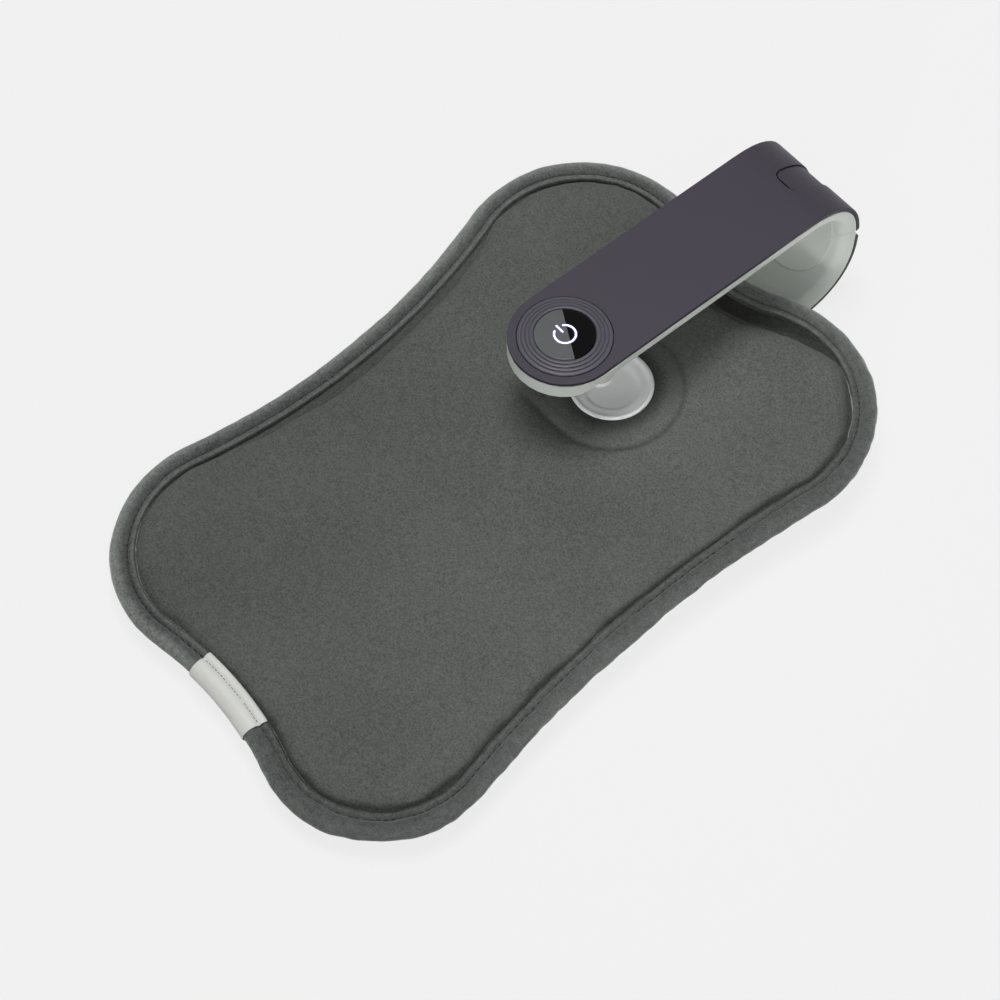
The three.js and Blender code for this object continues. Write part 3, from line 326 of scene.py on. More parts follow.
def velvet(name, colour, sheen, softness, **nap_amounts):
    material, tree, shader, place = new_material(name, {
        "Roughness": 1.0,
        "Specular IOR Level": 0.12,
        "Sheen Weight": sheen,
        "Sheen Roughness": softness,
        "Sheen Tint": (0.91, 0.92, 0.87, 1),
    })
    nap = with_effect(tree, place, velvet_nap, **nap_amounts)
    # Painted shade and painted light from the piece's attribute: above 0 darkens the colour,
    # below 0 makes it paler.
    painted_shading = add_node(tree, "Attribute")
    painted_shading.attribute_name = PAINTED_SHADING
    painted_shading_factor = maths(tree, "SUBTRACT", 1, painted_shading.outputs["Fac"])
    shade = maths(tree, "MULTIPLY", nap["Shade"], painted_shading_factor)
    tree.links.new(tint(tree, colour, shade), shader.inputs["Base Color"])
    bump(tree, shader, nap["Height"], PILE_DEPTH, strength=0.6)
    return material


panel_velvet = velvet(
    "panel_velvet", srgb(90, 92, 89), sheen=0.25, softness=0.42, Patches=0.5, Mottle=0.5, Pile=2
)
binding_velvet = velvet(
    "binding_velvet", srgb(84, 87, 85), sheen=1, softness=0.32, Patches=0.8, Mottle=0.9, Pile=2
)
print("velvets:", panel_velvet.name, binding_velvet.name)

# %% [markdown]
# The clip is two moulded plastics: an aubergine cover with a silky grain, and a pale
# grey-green liner. The port's dish is the same pale plastic with a higher gloss. The
# metal, rubber and board inside are seen when the jaw opens, so they are finished too.

# %% Plastic, metal and rubber materials
# The clip's side view, in metres like the Object coordinates.
BEND_START = 0.1399
BEND_DEPTH = 0.0286
BEND_POWER = 2.39
CLIP_MIDDLE = 0.03055
CLIP_HALF_HEIGHT = 0.03005
EDGE_SHADE = 0.18
EDGE_DARK_TO = 0.966
EDGE_LIT_FROM = 0.978


def painted_gap_shade(tree, place, shade):
    """Painted shade for the shadow in the fine gap beside the pale liner, on the cover's inner
    edge and on all the cover plastic inward of it.

    The clip's side view is half a superellipse on two straight arms, so one sum of powers
    tells how far in a point lies, all the way round the hairpin.
    """
    axes = add_node(tree, "SeparateXYZ", place)
    past = maths(tree, "SUBTRACT", axes.outputs["Y"], BEND_START)
    past = maths(tree, "MAXIMUM", past, 0)
    past = maths(tree, "DIVIDE", past, BEND_DEPTH)
    past = maths(tree, "POWER", past, BEND_POWER)
    up = maths(tree, "SUBTRACT", axes.outputs["Z"], CLIP_MIDDLE)
    up = maths(tree, "ABSOLUTE", up)
    up = maths(tree, "DIVIDE", up, CLIP_HALF_HEIGHT)
    up = maths(tree, "POWER", up, BEND_POWER)
    reach = added(tree, past, up)
    reach = maths(tree, "POWER", reach, 1 / BEND_POWER)
    lit = add_node(tree, "MapRange", reach, EDGE_DARK_TO, EDGE_LIT_FROM, EDGE_SHADE)
    return maths(tree, "MULTIPLY", shade, lit.outputs["Result"])


def moulded(name, colour, gloss, wear=0.1, grain=0.02, edge=None, **sockets):
    """A plain finish. Its gloss is a roughness, and its grain a depth in millimetres."""
    material, tree, shader, place = new_material(name, sockets)
    surface = with_effect(tree, place, moulded_grain, Gloss=gloss, Wear=wear)
    tree.links.new(surface["Roughness"], shader.inputs["Roughness"])
    shade = surface["Shade"]
    # A painted shade, for the looks that have one.
    if edge:
        shade = edge(tree, place, shade)
    tree.links.new(tint(tree, srgb(*colour), shade), shader.inputs["Base Color"])
    bump(tree, shader, surface["Height"], grain * MM)
    return material


DARK_GLOSS = {"Specular IOR Level": 0.3}
# The cover's colour gets a painted shade along its inner edge.
COVER = {"edge": painted_gap_shade, **DARK_GLOSS}
PLAIN_LOOKS = {
    "cover_plastic": dict(colour=(50, 46, 57), gloss=0.5, wear=0.12, **COVER),
    "ring_plastic": dict(colour=(72, 70, 79), gloss=0.42, wear=0.08, **DARK_GLOSS),
    "liner_plastic": dict(colour=(202, 207, 201), gloss=0.42),
    "dish_plastic": dict(colour=(238, 240, 240), gloss=0.28, wear=0.08, grain=0.01),
    "cage_plastic": dict(colour=(226, 221, 207), gloss=0.5),
    "seal_rubber": dict(colour=(43, 43, 43), gloss=0.85, grain=0.05),
    "bladder_film": dict(colour=(141, 47, 42), gloss=0.4, wear=0.2),
    "switch_black": dict(colour=(29, 29, 31), gloss=0.45),
    "board_green": dict(colour=(30, 90, 56), gloss=0.35, grain=0.03),
    "wire_insulation": dict(colour=(138, 32, 32), gloss=0.4),
    "bright_steel": dict(colour=(190, 192, 196), gloss=0.3, wear=0.15, Metallic=1),
    "contact_brass": dict(colour=(214, 178, 92), gloss=0.25, wear=0.15, Metallic=1),
    "clear_plastic": dict(colour=(225, 230, 235), gloss=0.15, wear=0.05, grain=0.01),
}
plain = {name: moulded(name, **look) for name, look in PLAIN_LOOKS.items()}
print("plain finishes:", ", ".join(plain))

# %% [markdown]
# The button's window is one glossy black disc with a painted reflection: the part on one side of
# a straight line beside the middle is painted smoke grey, for a lamp's edge mirrored in it. A
# step on the distance across that line gives the two tones, so they stay put from every side.

# %% Window and light mark materials
BUTTON = Vector((-7.7, 39.7))
# The painted reflection's straight edge, and its grey.
TONE_NORMAL = Vector((0.486, 0.874, 0))
TONE_SHIFT = 1.2 * MM
PAINTED_REFLECTION_GREY = srgb(93, 94, 95)
NEARLY_BLACK = srgb(5, 5, 5)
WINDOW_ROUGHNESS = 0.16


def window_with_painted_reflection():
    sockets = {"Roughness": WINDOW_ROUGHNESS, "Specular IOR Level": 0.07}
    material, tree, shader, place = new_material("window_gloss", sockets)
    # Painted reflection: on one side of a straight line the window is smoke grey, elsewhere
    # black.
    across = add_node(tree, "VectorMath", place, TONE_NORMAL, operation="DOT_PRODUCT")
    border = (BUTTON * MM).dot(TONE_NORMAL.to_2d()) + TONE_SHIFT
    dark = maths(tree, "GREATER_THAN", across.outputs["Value"], border)
    tones = add_node(tree, "Mix")
    tones.data_type = "RGBA"
    tones.inputs["A"].default_value = PAINTED_REFLECTION_GREY
    tones.inputs["B"].default_value = NEARLY_BLACK
    tree.links.new(dark, tones.inputs["Factor"])
    tree.links.new(tones.outputs["Result"], shader.inputs["Base Color"])
    dust = noise_node(tree, place, scale=900, detail=2)
    rough = added(tree, spread(tree, dust, 0.05), WINDOW_ROUGHNESS)
    tree.links.new(rough, shader.inputs["Roughness"])
    return material


def lit_mark(name, colour, strength):
    material, tree, shader, place = new_material(name, {
        "Base Color": colour,
        "Roughness": 0.4,
        "Emission Strength": strength,
    })
    grain = noise_node(tree, place, scale=400, detail=1)
    flicker = added(tree, spread(tree, grain, 0.05), 1)
    tree.links.new(tint(tree, colour, flicker), shader.inputs["Emission Color"])
    return material


window_gloss = window_with_painted_reflection()
mark_light = lit_mark("mark_light", srgb(240, 240, 255), strength=0.75)
mark_edge = lit_mark("mark_edge", srgb(112, 108, 178), strength=0.35)
print("window and light mark made")

# %% [markdown]
# Woven satin: fine threads that catch the light along their length. Two wave textures at
# thread width, one across the other, make the weave, and sheen gives the silky edge.

# %% Satin and thread materials
SATIN_THREADS = {"Scale": 900, "Distortion": 0.6}
THREAD_DEPTH = 0.04 * MM


def woven_satin():
    material, tree, shader, place = new_material("satin", {
        "Roughness": 0.5,
        "Sheen Weight": 0.2,
        "Sheen Roughness": 0.3,
    })
    heights = []
    for direction in ("X", "Y"):
        threads = add_node(tree, "TexWave", Vector=place, **SATIN_THREADS)
        threads.bands_direction = direction
        heights.append(threads.outputs["Fac"])
    height = added(tree, *heights)
    soft = noise_node(tree, place, scale=120, detail=3)
    shade = added(tree, spread(tree, soft, 0.1), 1)
    tree.links.new(tint(tree, srgb(212, 213, 208), shade), shader.inputs["Base Color"])
    bump(tree, shader, height, THREAD_DEPTH, strength=0.4)
    return material


satin = woven_satin()
THREAD_NAP = {"sheen": 0.1, "softness": 0.42, "Patches": 0.2, "Mottle": 0.3, "Pile": 0.5}
dark_thread = velvet("dark_thread", srgb(38, 40, 39), **THREAD_NAP)
label_thread = velvet("label_thread", srgb(70, 72, 70), **THREAD_NAP)
print("satin and threads made")

# %% [markdown]
# Each solid of the frame names a slot for its material.

# %% Materials of the slots
SLOT_MATERIALS = {
    **plain,
    "port_plastic": plain["dish_plastic"],
    "steel": plain["bright_steel"],
    "window_black": window_gloss,
    "velvet": panel_velvet,
    "binding_velvet": binding_velvet,
    "satin": satin,
}


def slot_of(node):
    subparts = frame["record"]["subparts"]
    return next(part["material_slot"] for part in subparts if part["node"] == node)


print("slots:", len(SLOT_MATERIALS))

# %% [markdown]
# The bag's outline is four round lobes joined by four hollow arcs that touch them. An arc
# that is moved inwards keeps its centre and only changes its radius, so a strip of edge
# can be made by spinning one small section round each of the eight centres.

# %% Outline of the bag
BAG_LENGTH = 276
BAG_WIDTH = 192.6
# Each lobe's place across and along, its radius, and the radius of the hollow after it, as
# shares of half the bag's width and, for the second and the last, half its length.
LOBE_SHARES = [
    (0.361, 0.630, 0.538, 0.33),
    (-0.515, 0.623, 0.506, 1.95),
    (-0.385, -0.622, 0.506, 1.014),
    (0.510, -0.667, 0.470, 3.43),
]
LABEL_ARC = 5
FULL_TURN = 2 * math.pi


def arc_between(centre, radius, inset_sign, start_point, end_point, way):
    start = math.atan2(start_point.y - centre.y, start_point.x - centre.x)
    end = math.atan2(end_point.y - centre.y, end_point.x - centre.x)
    turn = way * (((end - start) * way) % FULL_TURN)
    return {"centre": centre, "radius": radius, "sign": inset_sign, "start": start, "turn": turn}


def bag_arcs():
    half_length, half_width = BAG_LENGTH / 2, BAG_WIDTH / 2
    lobes = []
    for across, along, radius, arch in LOBE_SHARES:
        centre = Vector((across * half_width, along * half_length))
        lobes.append((centre, radius * half_width, arch * half_length))
    hollows = []
    for i, (centre, radius, arch) in enumerate(lobes):
        far_centre, far_radius, _ = lobes[(i + 1) % len(lobes)]
        chord = far_centre - centre
        reach, far_reach = radius + arch, far_radius + arch
        along = (chord.length_squared + reach**2 - far_reach**2) / (2 * chord.length)
        out = math.sqrt(reach**2 - along**2)
        unit = chord.normalized()
        hollows.append(centre + along * unit + out * Vector((unit.y, -unit.x)))
    arcs = []
    for i, (centre, radius, arch) in enumerate(lobes):
        far_centre = lobes[(i + 1) % len(lobes)][0]
        arcs.append(arc_between(centre, radius, -1, hollows[i - 1], hollows[i], 1))
        arcs.append(arc_between(hollows[i], arch, 1, centre, far_centre, -1))
    return arcs


ARCS = bag_arcs()


def arc_point(arc, inset, angle):
    reach = arc["radius"] + arc["sign"] * inset
    return arc["centre"] + reach * Vector((math.cos(angle), math.sin(angle)))


def inset_of(x, y):
    """How far inside the outline a point lies."""
    found = []
    for arc in ARCS:
        offset = Vector((x, y)) - arc["centre"]
        way = math.copysign(1, arc["turn"])
        passed = (way * (math.atan2(offset.y, offset.x) - arc["start"])) % FULL_TURN
        if passed <= abs(arc["turn"]):
            found.append(-arc["sign"] * (arc["radius"] - offset.length))
    return min(found, key=abs) if found else 0


print("outline:", len(ARCS), "arcs; middle inset", round(inset_of(0, 0), 1), "mm")

# %% [markdown]
# Helpers that every soft piece uses. The bag lies tilted, its seam 10 mm up at the label
# end and 20 mm up at the clip end, so pieces are made level and sheared up afterwards.

# %% Sweeping and finishing helpers
SEAM_MIDDLE = 15
SEAM_SLOPE = 10 / BAG_LENGTH
MERGE = 0.004


def seam_at(y):
    return SEAM_MIDDLE + SEAM_SLOPE * y


def sweep_section(bm, section, arc, step, closed, shares=(0, 1)):
    """Spins a section of (inset, height) points along one arc of the outline."""
    angle = arc["start"] + arc["turn"] * shares[0]
    turn = arc["turn"] * (shares[1] - shares[0])
    verts = [bm.verts.new((*arc_point(arc, inset, angle), up)) for inset, up in section]
    pairs = list(zip(verts, verts[1:]))
    if closed:
        pairs.append((verts[-1], verts[0]))
    edges = [bm.edges.new(pair) for pair in pairs]
    steps = max(2, round(abs(turn) * arc["radius"] / step))
    bmesh.ops.spin(
        bm, geom=verts + edges, cent=(*arc["centre"], 0), axis=(0, 0, 1), angle=turn, steps=steps
    )


def sweep_outline(section, step, closed):
    bm = bmesh.new()
    for arc in ARCS:
        sweep_section(bm, section, arc, step, closed)
    bmesh.ops.remove_doubles(bm, verts=bm.verts, dist=MERGE)
    return bm


def face_out(bm):
    bmesh.ops.recalc_face_normals(bm, faces=bm.faces)


def tilt(bm):
    """Shears a level piece up to the seam."""
    for vert in bm.verts:
        vert.co.z += seam_at(vert.co.y)


def finish_piece(bm, name, body, materials, sharp=180):
    """Turns a bmesh in millimetres into a smooth-shaded object that rides on a body."""
    bmesh.ops.scale(bm, vec=(MM, MM, MM), verts=bm.verts)
    limit = math.radians(sharp)
    for face in bm.faces:
        face.smooth = True
    for edge in bm.edges:
        edge.smooth = edge.calc_face_angle(0) < limit
    mesh = bpy.data.meshes.new(name)
    bm.to_mesh(mesh)
    bm.free()
    for material in materials:
        mesh.materials.append(material)
    piece = bpy.data.objects.new(name, mesh)
    scene.collection.objects.link(piece)
    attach(piece, body)
    print(name, "has", len(mesh.polygons), "faces")
    return piece


def settled(piece):
    """Applies a piece's modifiers to its mesh."""
    evaluated = piece.evaluated_get(bpy.context.evaluated_depsgraph_get())
    mesh = bpy.data.meshes.new_from_object(evaluated)
    mesh.name = piece.name
    piece.modifiers.clear()
    piece.data = mesh


def smoothed(piece):
    """Subdivides a finished piece once, the same in the view and in the render."""
    rounding = piece.modifiers.new("rounding", "SUBSURF")
    rounding.levels = 1
    rounding.render_levels = 1


def smoothstep(low, high, value):
    share = min(max((value - low) / (high - low), 0), 1)
    return share * share * (3 - 2 * share)


def between(pair, share):
    """A value on the way from the first number of a pair to the second."""
    return pair[0] + (pair[1] - pair[0]) * share


def hump(value, middle, width):
    """A smooth hump over a line of values, 1 at its middle."""
    return math.exp(-(((value - middle) / width) ** 2))


def away_from(place, x, y):
    return (Vector((x, y)) - place).length


def flat_noise(x, y, length, layer):
    """Noise over the bag's plan; each layer is a pattern of its own."""
    return noise.noise((x / length, y / length, layer))


def mark_painted_shading(piece, fold_at):
    """Writes the painted shade at each point: 1 is black, and below 0 is painted light, paler.
    """
    values = [fold_at(*(vert.co / MM)) for vert in piece.data.vertices]
    piece.data.attributes.new(PAINTED_SHADING, "FLOAT", "POINT").data.foreach_set("value", values)


print("helpers ready; seam at the port is", round(seam_at(56), 2), "mm up")

# %% [markdown]
# The edge binding is a velvet strip folded round the bag's raw edge and stitched down: a
# roll, a stitched groove and a narrow flat hem. Its section is spun along the outline,
# then each point is moved a little by noise, because a strip pulled round curves puckers.

# %% Edge binding: slack
STITCH_INSET = 6.9
HEM_INSET = 9.8
BINDING_TOP = [
    (9.8, 0.7), (9.9, 1.9), (9.6, 2.6), (8.9, 2.9), (8.0, 2.75), (7.3, 2.25), (6.9, 1.8),
    (6.5, 2.15), (6.1, 2.6), (5.3, 3.15), (4.2, 3.4), (2.9, 3.25), (1.7, 2.75), (0.7, 1.75),
    (0.15, 0.65),
]
PUCKER_LENGTH = 4.5
PUCKER_DEPTH = 0.34
SLACK_LENGTH = 24
SLACK_DEPTH = 0.55
OUTLINE_STEP = 1.6
SIDE_BLEND = (-20, 70)
SIDE_LEAN = 0.2
BINDING_LOOSENESS = (0.6, 1.5)


def pucker(bm, depth_at):
    """Moves each point along its normal by noise, by an amount that depends on its place."""
    bm.normal_update()
    moves = []
    for vert in bm.verts:
        fine = noise.noise(vert.co / PUCKER_LENGTH)
        slow = noise.noise(vert.co / SLACK_LENGTH)
        depth = depth_at(vert.co)
        moves.append((vert, vert.normal * depth * (PUCKER_DEPTH * fine + SLACK_DEPTH * slow)))
    for vert, move in moves:
        vert.co += move


def near_side(x, y):
    """1 along the bag's loose side, which is painted darker, 0 along the taut one across from
    it.
    """
    return smoothstep(*SIDE_BLEND, x - SIDE_LEAN * y)


print("binding: section of", len(BINDING_TOP), "points on each side")

# %% [markdown]
# The strip gets painted shade in the groove and under the hem, and painted light on the ridge,
# on the rim and, a little, over the far side's face. Where a value is a pair, it is for the near
# side and the far side.

# %% Edge binding: painted shade and light
GROOVE_WIDTH = 0.5
GROOVE_WANDER = 0.35
WANDER_LENGTH = 9
GROOVE_SHADE = (0.1, 0.45)
HEM_TUCK = (HEM_INSET - 0.7, HEM_INSET - 0.1)
HEM_SHADE = (0.9, 0.65)
RIDGE_INSET = HEM_INSET - 1.2
RIDGE_WIDTH = 0.8
RIDGE_HIGHLIGHT = (0, 0.5)
RIM_START = (3.6, 5.4)
RIM_END = (0.8, 1.8)
RIM_HIGHLIGHT = (0.25, 1.45)
FACE_PAINTED_LIGHT = (0, 0.1)


def binding_painted_shading(x, y, z):
    # Painted shade in the groove and the hem's tuck; painted light on the ridge, the rim and the
    # far face.
    inset = inset_of(x, y)
    far = 1 - near_side(x, y)
    wander = GROOVE_WANDER * flat_noise(x, y, WANDER_LENGTH, layer=4.4)
    dark = between(GROOVE_SHADE, far) * hump(inset + wander, STITCH_INSET, GROOVE_WIDTH)
    dark += between(HEM_SHADE, far) * smoothstep(*HEM_TUCK, inset)
    pale = between(FACE_PAINTED_LIGHT, far)
    pale += between(RIDGE_HIGHLIGHT, far) * hump(inset, RIDGE_INSET, RIDGE_WIDTH)
    rim = smoothstep(between(RIM_START, far), between(RIM_END, far), inset)
    return dark - pale - between(RIM_HIGHLIGHT, far) * rim


# Amounts of painted shade, near and far.
print("binding folds, near and far:", GROOVE_SHADE, HEM_SHADE)

# %% Edge binding: the piece
below = [(inset, -up) for inset, up in reversed(BINDING_TOP)]
bm = sweep_outline(BINDING_TOP + below, OUTLINE_STEP, closed=True)
face_out(bm)
# The near long side is the loosest, as in the photograph.
pucker(bm, lambda co: between(BINDING_LOOSENESS, near_side(co.x, co.y)))
tilt(bm)
binding_roll = finish_piece(bm, "binding_roll", "bag", [binding_velvet])
# The roll's painted shade and painted light.
mark_painted_shading(binding_roll, binding_painted_shading)
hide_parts("edge_binding")
smoothed(binding_roll)

# %% [markdown]
# The seam is sewn with one thread. Each stitch is a small stretched ball laid in the
# groove along the outline, so the dashes have real thickness.

# %% Binding stitches
STITCH_PITCH = 2.9
STITCH_LENGTH = 1.8
STITCH_HEIGHT = 1.9
THREAD_RADIUS = 0.2
SWAYS = 7


def add_stitch(bm, place, direction, length):
    long_axis = Vector((*direction, 0)).to_track_quat("X", "Z").to_matrix().to_4x4()
    stretch = Matrix.Diagonal((length / 2, THREAD_RADIUS, THREAD_RADIUS, 1))
    bmesh.ops.create_uvsphere(
        bm, u_segments=6, v_segments=5, radius=1,
        matrix=Matrix.Translation(place) @ long_axis @ stretch,
    )


def stitch_arc(bm, arc, inset, height, pitch, length, shares=(0, 1), wander=0):
    share_span = shares[1] - shares[0]
    count = max(1, round(abs(arc["turn"]) * share_span * arc["radius"] / pitch))
    for k in range(count):
        share = shares[0] + share_span * (k + 0.5) / count
        angle = arc["start"] + arc["turn"] * share
        sway = wander * noise.noise((SWAYS * k / count, arc["radius"], 0))
        point = arc_point(arc, inset + sway, angle)
        along = Vector((-math.sin(angle), math.cos(angle)))
        add_stitch(bm, (*point, seam_at(point.y) + height), along, length)


bm = bmesh.new()
for arc in ARCS:
    for height in (STITCH_HEIGHT, -STITCH_HEIGHT):
        stitch_arc(bm, arc, STITCH_INSET, height, STITCH_PITCH, STITCH_LENGTH)
finish_piece(bm, "binding_stitches", "bag", [dark_thread])

# %% [markdown]
# The side label is a satin tab folded over the binding before it was sewn, so it follows
# the roll, dips at the seam and ends at the hem. It is an open section spun along part of
# one arc, and a modifier gives it the cloth's thickness.

# %% Side label
LABEL_SHARES = (0.27, 0.77)
LABEL_TOP = [
    (9.95, 2.3), (9.5, 3.1), (8.6, 3.3), (7.6, 3.2), (7.0, 2.9), (6.6, 2.45), (6.2, 2.9),
    (5.5, 3.5), (4.2, 3.75), (2.8, 3.6), (1.5, 3.1), (0.3, 2.0), (-0.35, 0.7),
]
LABEL_THICKNESS = 0.35
LABEL_STITCH = {"inset": 6.6, "height": 2.68, "pitch": 1.5, "length": 1.7, "wander": 0.5}
LABEL_STITCH_MARGIN = 0.02

section = LABEL_TOP + [(inset, -up) for inset, up in reversed(LABEL_TOP)]
bm = bmesh.new()
sweep_section(bm, section, ARCS[LABEL_ARC], OUTLINE_STEP, False, LABEL_SHARES)
face_out(bm)
tilt(bm)
label_tab = finish_piece(bm, "label_tab", "bag", [satin])
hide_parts("side_label")
wall = label_tab.modifiers.new("cloth", "SOLIDIFY")
wall.thickness = LABEL_THICKNESS * MM
wall.offset = 0
smoothed(label_tab)
bm = bmesh.new()
shares = (LABEL_SHARES[0] + LABEL_STITCH_MARGIN, LABEL_SHARES[1] - LABEL_STITCH_MARGIN)
stitch_arc(bm, ARCS[LABEL_ARC], shares=shares, **LABEL_STITCH)
finish_piece(bm, "label_stitches", "bag", [label_thread])

# %% [markdown]
# The bag itself is a thin pillow: a section spun round the outline and closed across the
# middle, pressed flat where it lies on the table and on the clip's lower arm. It is
# turned into an even skin with a voxel remesh and blown up a little as cloth, with its
# rim pinned in the seam, because a plain dome lacks the crown's soft, taut look.

# %% Pillow: start shape
PILLOW_TOP = [(44, 4.6), (34, 4.5), (26, 4.2), (20, 3.8), (16, 3.6), (12, 3.6), (5.5, 3.6)]
PILLOW_BOTTOM = [
    (5.5, -3.6), (12, -4.6), (14.5, -6.6), (18.5, -10.2), (26, -13.4), (34, -15.2), (44, -15.8),
]
REST_START = 6
REST_END = 27
ARM_REST = 9.15
PILLOW_STEP = 3
VOXEL = 5


def rest_at(y):
    """The height of what the bag lies on: the table, then the clip's lower arm."""
    return ARM_REST * min(max((y - REST_START) / (REST_END - REST_START), 0), 1)


def pillow_start():
    bm = sweep_outline(PILLOW_TOP + PILLOW_BOTTOM, PILLOW_STEP, closed=False)
    rims = [edge for edge in bm.edges if edge.is_boundary]
    bmesh.ops.holes_fill(bm, edges=rims, sides=0)
    face_out(bm)
    tilt(bm)
    for vert in bm.verts:
        vert.co.z = max(vert.co.z, rest_at(vert.co.y))
    piece = finish_piece(bm, "bag_pillow", "bag", [panel_velvet])
    skin = piece.modifiers.new("skin", "REMESH")
    skin.mode = "VOXEL"
    skin.voxel_size = VOXEL * MM
    settled(piece)
    return piece


bag_pillow = pillow_start()
print("remeshed to", len(bag_pillow.data.vertices), "points")

# %% Pillow: blown up as cloth
PIN_INSET = 13
CLOTH_FRAMES = 20
PRESSURE = 4
SWELL_CAP = 1.8 * MM
PORT = Vector((0.5, 56))
PORT_PIN = 34


def pinned_points(mesh):
    """The seam all round, and the fabric that is clamped round the port."""
    pinned = []
    for vert in mesh.vertices:
        x, y, z = vert.co / MM
        at_port = z > seam_at(y) and away_from(PORT, x, y) < PORT_PIN
        if at_port or inset_of(x, y) < PIN_INSET:
            pinned.append(vert.index)
    return pinned


def inflate(piece):
    rest = [vert.co.copy() for vert in piece.data.vertices]
    pins = piece.vertex_groups.new(name="pins")
    pins.add(pinned_points(piece.data), 1, "REPLACE")
    cloth = piece.modifiers.new("swelling", "CLOTH")
    cloth.settings.quality = 6
    cloth.settings.use_pressure = True
    cloth.settings.uniform_pressure_force = PRESSURE
    cloth.settings.vertex_group_mass = pins.name
    cloth.settings.effector_weights.gravity = 0
    for number in range(1, CLOTH_FRAMES + 1):
        scene.frame_set(number)
    settled(piece)
    piece.vertex_groups.clear()
    scene.frame_set(1)
    furthest = 0
    for vert, start in zip(piece.data.vertices, rest):
        move = vert.co - start
        furthest = max(furthest, move.length)
        if move.length > SWELL_CAP:
            vert.co = start + move * (SWELL_CAP / move.length)
    print("cloth moved up to", round(furthest / MM, 1), "mm before the cap")


inflate(bag_pillow)

# %% [markdown]
# The skin is subdivided until it can hold a crease, and the sewn details are pressed into
# it: the valley inside the hem with its wavy edge, the raised round of fabric that the
# port's ring clamps, the teardrop crease that runs off from it, and the pinch where the
# clip's bend grips the edge.

# %% Pillow: height of the top near the seam
VALLEY_TOP = [
    (0, 0.8), (9.6, 0.8), (10.3, 1.2), (11.5, 2.9), (13, 4.0), (15.5, 4.7), (20, 5.2), (25, 5.5),
]
VALLEY_BOTTOM = [(0, 0.8), (9.7, 0.8), (11, 2.4), (13, 4.8), (16, 8.0), (20, 11.0), (25, 13.4)]
WAVE_LENGTH = 17
WAVE_DEPTH = 1.6
RIPPLE_LENGTH = 6
RIPPLE_DEPTH = 0.6
PINCH_START = Vector((-4.6, 104.8))
PINCH_END = Vector((21.8, 118.4))
THROAT = Vector((2, 128))
THROAT_REACH = (50, 16)
THROAT_PULL = 7.7
HOLLOW_SIDE = Vector((-75, 3))
HOLLOW_REACH = (75, 30)
HOLLOW_PULL = 3.0
TEARDROP_END = Vector((-34.4, 31.1))
TEARDROP_RADIUS = 26.5
TIP_RADIUS = 1.5
HEM_REACH = 10
BLADDER_TOP = [(0, -0.6), (14, 0.2), (16, 0.9), (18.5, 3.0), (21.3, 3.8), (28, 4.5), (40, 4.8)]


def along_table(table, inset):
    """Smooth interpolation in a table of (inset, height)."""
    for (low, low_height), (high, high_height) in zip(table, table[1:]):
        if inset <= high:
            share = smoothstep(low, high, inset) * 0.5 + 0.5 * (inset - low) / (high - low)
            return low_height + (high_height - low_height) * share
    return table[-1][1]


def hollow_side(x, y):
    """1 in the middle of the taut side, where the bag is narrowest."""
    return smoothstep(*HOLLOW_REACH, away_from(HOLLOW_SIDE, x, y))


def wavy_inset(x, y, inset):
    """The inset that the panel's edge follows: it waves, and draws back in two places."""
    slow = flat_noise(x, y, WAVE_LENGTH, layer=3.7)
    fine = flat_noise(x, y, RIPPLE_LENGTH, layer=9.1)
    pull = THROAT_PULL * smoothstep(*THROAT_REACH, away_from(THROAT, x, y))
    pull += HOLLOW_PULL * hollow_side(x, y)
    return inset + WAVE_DEPTH * slow + RIPPLE_DEPTH * fine - pull


def beyond_pinch(x, y):
    """How far a point lies on the clip's side of the pinch line."""
    line = (PINCH_END - PINCH_START).normalized()
    return (Vector((x, y)) - PINCH_START).dot(Vector((-line.y, line.x)))


def teardrop_distance(x, y):
    """Distance outside a teardrop: a circle round the port, drawn out to a point."""
    reach = TEARDROP_END - PORT
    unit = reach.normalized()
    offset = Vector((x, y)) - PORT
    side, along = abs(offset.x * unit.y - offset.y * unit.x), offset.dot(unit)
    slope = (TEARDROP_RADIUS - TIP_RADIUS) / reach.length
    lean = math.sqrt(1 - slope * slope)
    place = -slope * side + lean * along
    if place < 0:
        return offset.length - TEARDROP_RADIUS
    if place > lean * reach.length:
        return (offset - reach).length - TIP_RADIUS
    return lean * side + slope * along - TEARDROP_RADIUS


print("port middle is", round(-teardrop_distance(*PORT), 1), "mm inside the crease")

# %% Pillow: heights of the pressed skin
PORT_LEVEL = 23.1
PORT_SLOPE = (42, 6)
PAD_RISE = 1.0
PAD_SHOULDER = 3.4
CREASE_DEPTH = 0.6
CREASE_OFFSET = 0.4
CREASE_WIDTH = 1.15
CREASE_FADE = (5, 27)
WELL_RADIUS = 14.3
WELL_EDGE = (WELL_RADIUS + 0.7, WELL_RADIUS - 2)
WELL_DEPTH = 3.4
CROWN_TOP_BLEND = (15, 25)
CROWN_BOTTOM_BLEND = (14, 24)
UNDULATION = 0.35
UNDULATION_LENGTH = 55
PINCH_EDGE = (-1, 4)
PINCH_MIDDLE = 8
PINCH_ENDS = (34, 24)
PINCH_FLOOR = 0.9


def gripped_at(x, y):
    beyond = smoothstep(*PINCH_EDGE, beyond_pinch(x, y))
    return beyond * smoothstep(*PINCH_ENDS, abs(x - PINCH_MIDDLE))


def teardrop_depth(x, y):
    """The crease fades out towards the teardrop's tip."""
    return smoothstep(*CREASE_FADE, away_from(TEARDROP_END, x, y))


